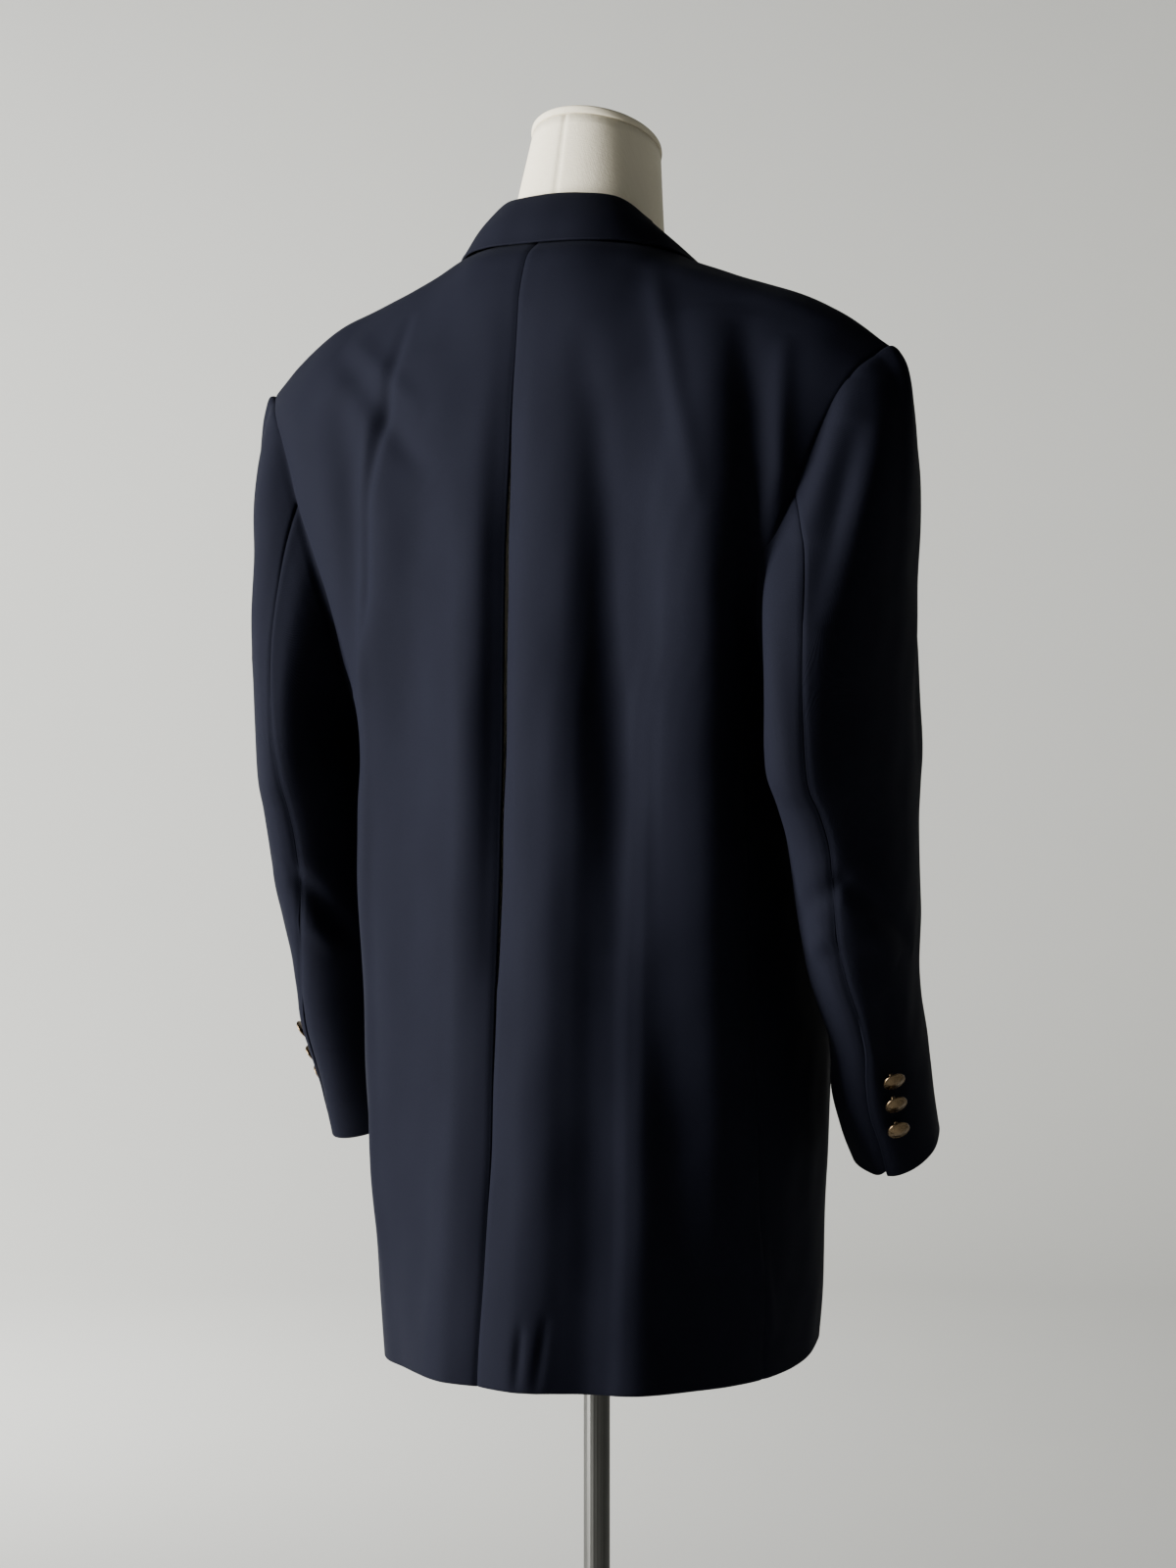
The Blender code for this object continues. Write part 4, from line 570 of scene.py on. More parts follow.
def section_point(side, turn, height):
    """Point of a level section by its turn from the centre back."""
    section = section_at(height)
    front = turn > 90.0
    power = 2.0 / section["square"]
    angle = math.radians(turn)
    across = half_width(section, side, front) * abs(math.sin(angle)) ** power
    depth = (section["front"] if front else section["back"]) * abs(math.cos(angle)) ** power
    return np.array((across, -depth if front else depth, height))


def armhole_point(side, angle):
    """Point of the armhole loop."""
    point = smooth_rows(ARMHOLE, angle % 360.0)
    if side > 0:
        point[0] -= read_curve(ARMHOLE_LEFT_IN, angle % 360.0)
    return point


def armhole_normal(side, angle):
    """Direction the cloth faces along the armhole, shared by body and sleeve."""
    point = armhole_point(side, angle)
    centre = np.array((ARMHOLE_CENTRE[0], ARMHOLE_CENTRE[1], min(point[2], ARMHOLE_CENTRE[2])))
    top_share = max(0.0, math.cos(math.radians(angle)))
    return unit(top_share * np.array(SHOULDER_WAY) + (1.0 - top_share) * unit(point - centre))


def armhole_away(side, angle):
    """Direction along the cloth from the body panels into the armhole."""
    along = unit(armhole_point(side, angle + 2.0) - armhole_point(side, angle - 2.0))
    return unit(np.cross(along, armhole_normal(side, angle)))


def hem_height(side, turn):
    """Height of the hem by the turn from the centre back."""
    return read_curve(HEM_LEFT if side > 0 else HEM_RIGHT, turn)


def mirrored(points, side):
    """Points moved to their own side of the body."""
    moved = np.array(points, float)
    moved[..., 0] *= side
    return moved


def grid_normals(grid, inside):
    """Outward direction at every grid point."""
    along_rows = np.gradient(grid, axis=0)
    along_columns = np.gradient(grid, axis=1)
    normals = np.cross(along_rows, along_columns)
    normals /= np.maximum(np.linalg.norm(normals, axis=2, keepdims=True), 1e-12)
    if float(np.sum(normals * (grid - inside))) < 0.0:
        normals = -normals
    return normals


def outer_edge(side, part, seam_turn, junction_angle, shoulder_angle):
    """Outer edge of a back or front: its side seam up to the armhole, then the armhole."""
    if part > 0.0:
        return armhole_point(side, junction_angle + (shoulder_angle - junction_angle) * part)
    junction = armhole_point(side, junction_angle)
    low = hem_height(side, read_curve(seam_turn, HEM_LEVEL))
    height = low + (junction[2] - low) * (part + 1.0)
    meet = junction - section_point(side, read_curve(seam_turn, junction[2]), junction[2])
    point = section_point(side, read_curve(seam_turn, height), height)
    return point + meet * ease((part + SEAM_MEET) / SEAM_MEET)


def row_parts(high_rows):
    """Places of a panel's rows: -1 at the hem, 0 at the armhole's lower corner, 1 at the shoulder seam."""
    low = [index / LOW_ROWS - 1.0 for index in range(LOW_ROWS)]
    return low + [1.0 - (1.0 - index / high_rows) ** SHOULDER_CROWDING for index in range(high_rows + 1)]


def back_grid(side):
    """Outer points of one back panel from the hem to the shoulder seam, centre back to its outer edge."""
    parts = row_parts(BACK_HIGH_ROWS)
    junction = armhole_point(side, BACK_JUNCTION_ANGLE)[2]
    grid = np.zeros((len(parts), BACK_COLUMNS + 1, 3))
    for row, part in enumerate(parts):
        edge = outer_edge(side, part, BACK_SEAM_TURN, BACK_JUNCTION_ANGLE, 0.0)
        for column in range(BACK_COLUMNS + 1):
            share = column / BACK_COLUMNS
            across = edge[0] * math.sin(share * BACK_SPREAD) / math.sin(BACK_SPREAD)
            if part <= 0.0:
                turn = share * read_curve(BACK_SEAM_TURN, edge[2])
                low = hem_height(side, turn)
                height = low + (junction - low) * (part + 1.0)
            else:
                height = junction + (shoulder_line(side, across) - junction) * part
                lift = edge[2] - (junction + (shoulder_line(side, edge[0]) - junction) * part)
                height += lift * share ** 2
            depth = back_surface(side, across, height)
            slip = edge[1] - back_surface(side, edge[0], edge[2])
            depth += slip * share ** EDGE_FOLLOW if part < 1.0 else 0.0
            grid[row, column] = (across, depth, height)
    return grid


def side_turn(height, share):
    """Turn from the centre back at a share of the way from the back seam to the front seam."""
    back = read_curve(BACK_SEAM_TURN, height)
    return back + (read_curve(FRONT_SEAM_TURN, height) - back) * share


def side_grid(side):
    """Outer points of one side panel, hem to armhole, back seam to front seam."""
    grid = np.zeros((LOW_ROWS + 1, SIDE_COLUMNS + 1, 3))
    span = FRONT_JUNCTION_ANGLE - BACK_JUNCTION_ANGLE
    for column in range(SIDE_COLUMNS + 1):
        share = column / SIDE_COLUMNS
        top = armhole_point(side, BACK_JUNCTION_ANGLE + span * share)
        low = hem_height(side, side_turn(HEM_LEVEL, share))
        meet = top - section_point(side, side_turn(top[2], share), top[2])
        for row in range(LOW_ROWS + 1):
            rise = row / LOW_ROWS
            height = low + (top[2] - low) * rise
            point = section_point(side, side_turn(height, share), height)
            grid[row, column] = point + meet * ease((rise - 1.0 + SEAM_MEET) / SEAM_MEET)
    return grid


def roll_line(height):
    """Distance of the front edge from the middle: overlap below the break, roll line above it."""
    if height <= QUARTER_START:
        return -FRONT_OVERLAP + QUARTER_SWEEP * ((QUARTER_START - height) / QUARTER_DROP) ** QUARTER_POWER
    if height <= BREAK_HEIGHT:
        return -FRONT_OVERLAP
    rise = (height - BREAK_HEIGHT) / (ROLL_LINE_BEND - BREAK_HEIGHT)
    return -FRONT_OVERLAP + (ROLL_LINE_SIDE + FRONT_OVERLAP) * rise


def neck_drop(side, station):
    """How much lower the right side of the collar lies at a station."""
    if side > 0:
        return 0.0
    if station <= SHOULDER_STATION:
        return read_curve(RIGHT_DROP, collar_row(station)["neck_side"])
    last = len(COLLAR) - 1
    return read_curve(RIGHT_DROP, NECK_POINT) * ease((last - station) / (last - SHOULDER_STATION))


def neckline_point(side, station):
    """Point of the neckline by collar station, centre back to front end."""
    row = collar_row(station)
    if station <= SHOULDER_STATION:
        return np.array((row["neck_side"], neckline_depth(row["neck_side"]),
                         shoulder_line(side, row["neck_side"])))
    height = row["neck_height"] - neck_drop(side, station)
    return np.array((row["neck_side"], front_surface(side, row["neck_side"], height), height))


def front_inner_edge(side, part):
    """Inner edge of the front: centre front and roll line, then the neckline up to the shoulder seam."""
    junction = armhole_point(side, FRONT_JUNCTION_ANGLE)[2]
    last = len(COLLAR) - 1
    if part <= 0.0:
        low = hem_height(side, 180.0)
        height = low + (junction - low) * (part + 1.0)
        return np.array((roll_line(height), 0.0, height))
    if part < ROLL_SHARE:
        height = junction + (COLLAR[last][2] - junction) * part / ROLL_SHARE
        return np.array((roll_line(height), 0.0, height))
    station = last + (SHOULDER_STATION - last) * (part - ROLL_SHARE) / (1.0 - ROLL_SHARE)
    return neckline_point(side, station)


def closing_rise(side, across):
    """How far the left front stands off to lap over the right one."""
    if side < 0:
        return 0.0
    return LAY_OVER * ease((LAP_FADE_END - across) / (LAP_FADE_END - LAP_FADE_START))


def front_grid(side):
    """Outer points of one front from the hem to the shoulder seam, front edge to the outer edge."""
    parts = row_parts(FRONT_HIGH_ROWS)
    junction = armhole_point(side, FRONT_JUNCTION_ANGLE)[2]
    grid = np.zeros((len(parts), FRONT_COLUMNS + 1, 3))
    for row, part in enumerate(parts):
        outer = outer_edge(side, part, FRONT_SEAM_TURN, FRONT_JUNCTION_ANGLE, 360.0)
        inner = front_inner_edge(side, part)
        for column in range(FRONT_COLUMNS + 1):
            share = math.sin(column / FRONT_COLUMNS * math.pi / 2.0) ** FRONT_CROWDING
            across = inner[0] + (outer[0] - inner[0]) * share
            height = inner[2] + (outer[2] - inner[2]) * share
            if part <= 0.0:
                turn = 180.0 + (read_curve(FRONT_SEAM_TURN, outer[2]) - 180.0) * share
                low = hem_height(side, turn)
                height = low + (junction - low) * (part + 1.0)
            elif column > 0:
                reach = part ** (FRONT_RISE_POWER + FRONT_RISE_INNER * (1.0 - share) ** EDGE_FOLLOW)
                height += (shoulder_line(side, across) - height) * reach
                above_edge = (shoulder_line(side, outer[0]) - outer[2]) * part ** FRONT_RISE_POWER
                height -= above_edge * share ** EDGE_FOLLOW
            slip = outer[1] - front_surface(side, outer[0], outer[2])
            depth = front_surface(side, across, height)
            depth += slip * share ** EDGE_FOLLOW if part < 1.0 else 0.0
            if part <= 0.0 or across < LAP_FADE_END:
                depth -= closing_rise(side, across)
            grid[row, column] = (across, depth, height)
    return grid


def collar_row(station):
    """Named places of the collar at a station."""
    rows = [(float(index), *row[1:]) for index, row in enumerate(COLLAR)]
    return dict(zip(COLLAR_COLUMNS[1:], smooth_rows(rows, station)))


def shoulder_height(side, across, depth):
    """Height of the garment's shoulder over a place in plan."""
    surface = back_surface if depth > SHOULDER_LINE_DEPTH else front_surface
    low, high = SHOULDER_SEARCH_FOOT, shoulder_line(side, max(abs(across), NECK_POINT))
    for _ in range(HALVINGS):
        middle = (low + high) / 2.0
        reach = surface(side, across, middle)
        inside = reach > depth if depth > SHOULDER_LINE_DEPTH else reach < depth
        low, high = (middle, high) if inside else (low, middle)
    return (low + high) / 2.0


def shoulder_point(side, across, depth, lift):
    """Point of the garment's shoulder moved out by a lift."""
    here = shoulder_height(side, across, depth)
    slope_across = (shoulder_height(side, across + SLOPE_STEP, depth) - here) / SLOPE_STEP
    slope_depth = (shoulder_height(side, across, depth + SLOPE_STEP) - here) / SLOPE_STEP
    out = unit((-slope_across, -slope_depth, 1.0))
    return np.array((across, depth, here)) + out * lift


def collar_section(side, station):
    """Visible side of the collar at one station: up the stand, over the roll and down the fall."""
    row = collar_row(station)
    neck = neckline_point(side, station)
    roll = np.array((row["roll_side"], row["roll_depth"], row["roll_height"] - neck_drop(side, station)))
    outward = unit((neck[0], neck[1] - NECK_CENTRE_DEPTH, 0.0))
    rise = unit(roll - neck)
    foot = neck - outward * CLOTH_WALL + rise * COLLAR_GAP
    fall = shoulder_point(side, row["fall_side"], row["fall_depth"], LAY_OVER)
    inner = roll - outward * ROLL_RADIUS - rise * ROLL_RADIUS
    outer = roll + outward * ROLL_RADIUS - rise * ROLL_RADIUS
    points = [foot, foot + (inner - foot) * 0.5, inner, roll]
    away = unit(np.cross(fall - outer, unit(np.cross(outward, np.array((0.0, 0.0, 1.0))))))
    if away[2] < 0.0:
        away = -away
    for share in (0.0, 0.25, 0.5, 0.75, 1.0):
        point = outer + (fall - outer) * share + away * FALL_BULGE * math.sin(math.pi * share)
        points.append(lifted_clear(side, point, neck))
    return points


def lifted_clear(side, point, neck):
    """A fall point raised where it would touch the shoulder."""
    reach = math.hypot(point[0], point[1] - NECK_CENTRE_DEPTH)
    if reach < math.hypot(neck[0], neck[1] - NECK_CENTRE_DEPTH) - CLOTH_WALL:
        return point
    floor = shoulder_height(side, point[0], point[1]) + LAY_OVER * FALL_STAND_OFF
    return np.array((point[0], point[1], max(point[2], floor)))


def lapel_grid(side):
    """Outer points of one lapel: a rolled inner edge, then across to its outer edge."""
    start = LAPEL[0][0] if side > 0 else LAPEL_RIGHT_START
    grid = np.zeros((LAPEL_ROWS + 1, LAPEL_COLUMNS + 3, 3))
    end = collar_row(len(COLLAR) - 1)
    gorge_slope = (GORGE_END_HEIGHT - end["neck_height"]) / (end["fall_side"] - end["neck_side"])
    for row in range(LAPEL_ROWS + 1):
        rise = row / LAPEL_ROWS
        height = start + (LAPEL[-1][0] - start) * rise
        width, droop = smooth_rows(LAPEL, height)
        base = roll_line(height)
        lift = closing_rise(side, base)
        edge = front_surface(side, base, height) - lift
        for column, (across, stand_off) in enumerate(LAPEL_TURN_UNDER):
            grid[row, column] = (base + across, edge - stand_off, height)
        for column in range(LAPEL_COLUMNS + 1):
            share = column / LAPEL_COLUMNS
            across = base + LAPEL_START_IN + width * share
            place = height - droop * share ** DROOP_POWER
            gorge = (GORGE_START + gorge_slope * (across - base)
                     - NOTCH_DROP * ease((share - NOTCH_SHARE) / (1.0 - NOTCH_SHARE)))
            top_place = LAPEL[-1][0] - LAPEL[-1][2] * share ** DROOP_POWER
            place += (gorge - top_place) * ease((rise - 0.5) * 2.0)
            bulge = math.sin(math.pi * min(share * LAPEL_BULGE_SPEED + LAPEL_BULGE_START, 1.0))
            stand_off = LAPEL_LIFT + LAPEL_BULGE * bulge + closing_rise(side, across)
            grid[row, column + 2] = (across, front_surface(side, across, place) - stand_off, place)
    return grid


def sleeve_rows(side):
    """Ring table of one sleeve."""
    return SLEEVE_LEFT if side > 0 else SLEEVE_RIGHT


def sleeve_ring(side, drop, angle):
    """Point of a sleeve below the armpit; drop runs from the first ring to the cuff."""
    rows = sleeve_rows(side)
    height = rows[0][0] + (rows[-1][0] - rows[0][0]) * drop
    flipped = tuple(reversed(rows))
    place = dict(zip(SLEEVE_COLUMNS[1:], smooth_rows(flipped, height)))
    high = min(height + AXIS_STEP, rows[0][0])
    low = max(height - AXIS_STEP, rows[-1][0])
    down = unit((*(smooth_rows(flipped, low)[:2] - smooth_rows(flipped, high)[:2]), low - high))
    turn = math.radians(place["turn"])
    back = np.array((math.sin(turn), math.cos(turn), 0.0))
    back = unit(back - down * float(np.dot(back, down)))
    out = unit(np.cross(back, down))
    if out[0] < 0.0:
        out = -out
    bend = math.radians(angle)
    centre = np.array((place["side"], place["depth"], height))
    return centre + out * place["across"] * math.cos(bend) + back * place["deep"] * math.sin(bend), down


def cap_leave(side, angle):
    """Direction in which the sleeve leaves the armhole, and the share of the cap it keeps that way."""
    across, back, up, share = smooth_rows(CAP_LEAVE_WAYS, angle % 360.0)
    if side < 0:
        across += RIGHT_HEAD_OUT * max(0.0, math.cos(math.radians(angle)))
    return unit((across, back, up)), share


def sleeve_point(side, length, angle):
    """Point of a sleeve: length 0 at the armhole, 1 at the first full ring, 2 at the cuff."""
    if length >= 1.0:
        return sleeve_ring(side, length - 1.0, angle)[0]
    way, share = cap_leave(side, angle)
    start = armhole_point(side, angle) + armhole_away(side, angle) * ARMHOLE_GAP
    end, down = sleeve_ring(side, 0.0, angle)
    reach = float(np.linalg.norm(end - start))
    first = start + way * reach * share
    second = end - down * reach * CAP_ARRIVE
    rest = 1.0 - length
    return (start * rest ** 3 + first * 3 * rest ** 2 * length
            + second * 3 * rest * length ** 2 + end * length ** 3)


def back_seam_angle(side, length):
    """Turn of the sleeve's back seam at a length."""
    rows = sleeve_rows(side)
    if length < 1.0:
        start = ARMHOLE_SEAM_LEFT if side > 0 else ARMHOLE_SEAM_RIGHT
        return start + (rows[0][6] - start) * length
    height = rows[0][0] + (rows[-1][0] - rows[0][0]) * (length - 1.0)
    return float(smooth_rows(tuple(reversed(rows)), height)[5])


def sleeve_normal(side, length, angle):
    """Direction that the sleeve faces."""
    around = (sleeve_point(side, length, angle + SLEEVE_TURN_STEP)
              - sleeve_point(side, length, angle - SLEEVE_TURN_STEP))
    along = (sleeve_point(side, min(length + SLEEVE_LENGTH_STEP, 2.0), angle)
             - sleeve_point(side, max(length - SLEEVE_LENGTH_STEP, 0.0), angle))
    out = unit(np.cross(around, along))
    centre = sum(sleeve_point(side, length, turn) for turn in QUARTER_TURNS) / 4.0
    return -out if float(np.dot(out, sleeve_point(side, length, angle) - centre)) < 0.0 else out


def sleeve_lengths():
    """Lengths of the rows from the armhole to the cuff, crowded at the sleeve head."""
    cap = [(index / CAP_ROWS) ** HEAD_CROWDING for index in range(CAP_ROWS)]
    return cap + [1.0 + index / FOREARM_ROWS for index in range(FOREARM_ROWS + 1)]


def sleeve_turns(side, upper, length):
    """Turns of one row of a sleeve piece; the upper one has a column at the shoulder point."""
    seam = back_seam_angle(side, length)
    if not upper:
        return list(np.linspace(seam, UNDER_SEAM_ANGLE, UNDER_COLUMNS + 1))
    front = np.linspace(UNDER_SEAM_ANGLE - 360.0, 0.0, UPPER_FRONT_COLUMNS + 1)
    return list(front[:-1]) + list(np.linspace(0.0, seam, UPPER_BACK_COLUMNS + 1))


def sleeve_grid(side, upper):
    """Outer points of one sleeve piece, with the turns used."""
    turns = np.array([sleeve_turns(side, upper, length) for length in sleeve_lengths()])
    grid = np.zeros((*turns.shape, 3))
    for row, length in enumerate(sleeve_lengths()):
        for column, angle in enumerate(turns[row]):
            grid[row, column] = sleeve_point(side, length, angle)
    if not upper:
        grid[-1, 0] += unit(grid[-2, 0] - grid[-1, 0]) * VENT_NOTCH
    return grid, turns


def inside_garment(across, depth, height):
    """Whether a place keeps clear inside the shoulders of the garment."""
    side = 1 if across > 0.0 else -1
    above = height + CLOTH_WALL + FORM_CLEARANCE
    if above >= shoulder_line(side, max(abs(across), NECK_POINT)):
        return False
    if depth > SHOULDER_LINE_DEPTH:
        return back_surface(side, across, above, False) - FORM_DEPTH_CLEARANCE > depth
    return front_surface(side, across, above) + FORM_DEPTH_CLEARANCE < depth


def form_radius(row, angle, height):
    """Reach of the form from its axis in one direction, held inside the garment's shoulders."""
    wide, back, front = row
    side, depth = math.sin(angle), math.cos(angle)
    deep = back - FORM_AXIS_DEPTH if depth > 0.0 else front + FORM_AXIS_DEPTH
    reach = (abs(side / wide) ** FORM_SQUARE + abs(depth / deep) ** FORM_SQUARE) ** (-1.0 / FORM_SQUARE)
    if height < FORM_LIMIT_HEIGHT:
        return reach
    low, high = FORM_SEARCH_START, reach
    if inside_garment(reach * side, FORM_AXIS_DEPTH + reach * depth, height):
        return reach
    for _ in range(HALVINGS):
        middle = (low + high) / 2.0
        if inside_garment(middle * side, FORM_AXIS_DEPTH + middle * depth, height):
            low = middle
        else:
            high = middle
    return low


def tilted_ring(wide, deep, middle, height, tilt):
    """One ellipse of the neck, tipped toward the front."""
    ring = []
    for index in range(FORM_SIDES):
        angle = 2.0 * math.pi * index / FORM_SIDES
        depth = middle + deep * math.cos(angle)
        ring.append(np.array((wide * math.sin(angle), depth, height + tilt * (depth - middle))))
    return ring


def sagged_axis(side, length, angle, sag):
    """Axis of a button that hangs from its shank, tipped down from the cloth's own direction."""
    out = sleeve_normal(side, length, angle)
    down = unit(np.array((0.0, 0.0, -1.0)) + out * out[2])
    tip = math.radians(sag)
    return out * math.cos(tip) + down * math.sin(tip)


# ---------------------------------------------------------------- fine shells
def fine_places(cells):
    """Places along a grid's cells, crowded at both edges, where cloth is sewn or folded."""
    even = [index / GRID_STEPS for index in range(cells * GRID_STEPS + 1)]
    inner = [place for place in even if EDGE_MARGIN < place < cells - EDGE_MARGIN]
    return np.array([0.0, *EDGE_STEPS, *inner, *(cells - step for step in reversed(EDGE_STEPS)), cells])


def resampled(grid, places, axis):
    """A grid carried smoothly through its own points to new places along one axis."""
    rows = np.moveaxis(grid, axis, 0)
    padded = np.concatenate((2.0 * rows[:1] - rows[1:2], rows, 2.0 * rows[-1:] - rows[-2:-1]))
    low = np.minimum(places.astype(int), len(rows) - 2)
    share = (places - low).reshape((-1,) + (1,) * (rows.ndim - 1))
    before, here, after, beyond = (padded[low + step] for step in range(4))
    fine = here + 0.5 * share * (after - before + share * (
        2.0 * before - 5.0 * here + 4.0 * after - beyond + share * (3.0 * (here - after) + beyond - before)))
    return np.moveaxis(fine, 0, axis)


def crease_height(points, creases):
    """Height of the listed creases at every point."""
    height = np.zeros(points.shape[:-1])
    for reach, rise, path in creases:
        path = np.array(path)
        lengths = np.concatenate(([0.0], np.cumsum(np.linalg.norm(np.diff(path, axis=0), axis=1))))
        nearest = np.full(height.shape, 1e9)
        along = np.zeros(height.shape)
        for index in range(len(path) - 1):
            start, way = path[index], path[index + 1] - path[index]
            share = np.clip(((points - start) @ way) / float(way @ way), 0.0, 1.0)
            distance = np.linalg.norm(points - (start + share[..., None] * way), axis=-1)
            closer = distance < nearest
            nearest = np.where(closer, distance, nearest)
            along = np.where(closer, lengths[index] + share * (lengths[index + 1] - lengths[index]), along)
        fade = np.sin(np.pi * np.clip(along / lengths[-1], 0.0, 1.0)) ** CREASE_FADE_POWER
        height += rise * CREASE_STRENGTH * fade * np.exp(-(nearest / reach) ** 2)
    return height


def ripple_height(points):
    """Soft uneven swelling of hung cloth."""
    random = np.random.default_rng(RIPPLE_SEED)
    height = np.zeros(points.shape[:-1])
    for wavelength, rise in RIPPLES:
        for _ in range(RIPPLE_WAVES):
            way = random.normal(size=3)
            way[2] *= RIPPLE_UPRIGHT
            way /= np.linalg.norm(way)
            stretch = random.uniform(*RIPPLE_STRETCH)
            phase = random.uniform(0.0, 2.0 * math.pi)
            wave = np.sin(points @ way * 2.0 * math.pi / (wavelength * stretch) + phase)
            height += rise * RIPPLE_SHARE * wave
    return height


def arc_lengths(grid, axis):
    """Distance run along an axis from its first edge."""
    steps = np.linalg.norm(np.diff(grid, axis=axis), axis=2)
    start = np.zeros_like(np.take(steps, [0], axis=axis))
    return np.concatenate((start, np.cumsum(steps, axis=axis)), axis=axis)


def from_last_column(grid):
    """Distance of every point of a grid from its last column."""
    across = arc_lengths(grid, 1)
    return across[:, -1:] - across


def seam_dip(grid, seams):
    """How far the cloth dips at its sewn edges: first row, last row, first column, last column."""
    up = arc_lengths(grid, 0)
    distances = (up, up[-1:] - up, arc_lengths(grid, 1), from_last_column(grid))
    dip = np.zeros(grid.shape[:2])
    for sewn, distance in zip(seams, distances):
        if sewn:
            dip = np.maximum(dip, SEAM_DEPTH * np.exp(-(distance / SEAM_WIDTH) ** 2))
    return dip


def cloth_piece(node, grid, inside, material, seams, creases=(), lift=None):
    """A thin cloth shell in place of its plainer solid, with creases, seam dips and rounded rims.

    The seams are the grid's sewn edges: first row, last row, first column, last column.
    """
    grid = resampled(grid, fine_places(grid.shape[0] - 1), 0)
    grid = resampled(grid, fine_places(grid.shape[1] - 1), 1)
    height = crease_height(grid, creases) + ripple_height(grid) - seam_dip(grid, seams)
    if lift is not None:
        height += lift(grid)
    outer = grid + grid_normals(grid, inside) * height[..., None]
    inner = outer - grid_normals(outer, inside) * CLOTH_WALL
    piece = shell_mesh(node + "_cloth", outer, inner, material)
    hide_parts(node)


def shell_mesh(name, outer, inner, material):
    """One closed wall between two grids, with a rounded rim and cloth coordinates in metres."""
    rows, columns = outer.shape[:2]
    count = rows * columns
    index = np.arange(count).reshape(rows, columns)
    quads = np.stack((index[:-1, :-1], index[:-1, 1:], index[1:, 1:], index[1:, :-1]), axis=-1).reshape(-1, 4)
    border = np.concatenate((index[0, :-1], index[:-1, -1], index[-1, :0:-1], index[:0:-1, 0]))
    neighbour = np.concatenate((index[1, :-1], index[:-1, -2], index[-2, :0:-1], index[:0:-1, 1]))
    flat_outer, flat_inner = outer.reshape(-1, 3), inner.reshape(-1, 3)
    away = flat_outer[border] - flat_outer[neighbour]
    away /= np.maximum(np.linalg.norm(away, axis=1, keepdims=True), 1e-9)
    rim = (flat_outer[border] + flat_inner[border]) / 2.0 + away * RIM_BULGE
    points = np.concatenate((flat_outer, flat_inner, rim))
    following = np.roll(border, -1)
    rim_index = 2 * count + np.arange(len(border))
    rim_after = np.roll(rim_index, -1)
    faces = np.concatenate((
        quads, quads[:, ::-1] + count,
        np.stack((following, border, rim_index, rim_after), axis=-1),
        np.stack((rim_after, rim_index, border + count, following + count), axis=-1)))
    first = points[faces[:, 0]]
    volume = sum(float(np.sum(first * np.cross(points[faces[:, step]], points[faces[:, step + 1]])))
                 for step in (1, 2))
    if volume < 0.0:
        faces = faces[:, ::-1]
    mesh = smooth_mesh(name, points.tolist(), faces.tolist())
    cloth = cloth_places(outer)
    lay_cloth(mesh, np.concatenate((cloth, cloth, cloth[border])))
    return new_piece(name, mesh, material)


def smooth_mesh(name, points, faces):
    """A smooth-shaded mesh."""
    mesh = bpy.data.meshes.new(name)
    mesh.from_pydata(points, [], faces)
    mesh.shade_smooth()
    return mesh


def cloth_places(grid):
    """Cloth coordinates of a grid in metres, one row a point: across, then up."""
    return np.stack((arc_lengths(grid, 1), arc_lengths(grid, 0)), axis=-1).reshape(-1, 2)


def lay_cloth(mesh, places):
    """Gives a mesh its cloth coordinates, for the weave to follow."""
    layer = mesh.uv_layers.new(name="cloth")
    corners = np.empty(len(mesh.loops), dtype=np.int32)
    mesh.loops.foreach_get("vertex_index", corners)
    layer.data.foreach_set("uv", places[corners].astype(np.float32).ravel())


def new_piece(name, mesh, material):
    """A shown piece that rides on the part."""
    mesh.materials.append(material)
    piece = bpy.data.objects.new(name, mesh)
    bpy.context.scene.collection.objects.link(piece)
    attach(piece, "root")
    return piece


def side_name(side):
    """Name of the wearer's side."""
    return "left" if side > 0 else "right"


def make_body(cloth):
    """Backs, side panels and fronts."""
    for side in (1, -1):
        for part, panel, edge_seam in (("back", back_grid, True), ("side", side_grid, True),
                                       ("front", front_grid, False)):
            node = "{}_{}".format(part, side_name(side))
            cloth_piece(node, mirrored(panel(side), side), np.array(BODY_MIDDLE), cloth,
                        (False, True, edge_seam, True), BODY_CREASES)


def make_collar(cloth):
    """The collar, folded over its roll."""
    last = len(COLLAR) - 1
    half = COLLAR_STATIONS // 2
    grid = []
    for index in range(-half, half + 1):
        side = 1 if index >= 0 else -1
        grid.append(mirrored(collar_section(side, last * abs(index) / half), side))
    grid = np.array(grid)
    roll = grid[:, 3:4, :]
    middle = roll + (grid[:, :1, :] + grid[:, -1:, :] - 2 * roll) * COLLAR_MIDDLE_SHARE
    centre = resampled(np.repeat(middle, 2, axis=1), fine_places(grid.shape[0] - 1), 0)[:, :1]
    cloth_piece("collar", grid, centre, cloth, (False, False, True, False), (), fall_press)


def fall_press(grid):
    """How far the collar's fall edge settles towards the back."""
    return -FALL_PRESS * np.exp(-(from_last_column(grid) / FALL_PRESS_WIDTH) ** 2)


def make_lapels(cloth):
    """Both lapels."""
    for side in (1, -1):
        cloth_piece("lapel_" + side_name(side), mirrored(lapel_grid(side), side),
                    np.array(LAPEL_MIDDLE), cloth, (False, False, False, False))


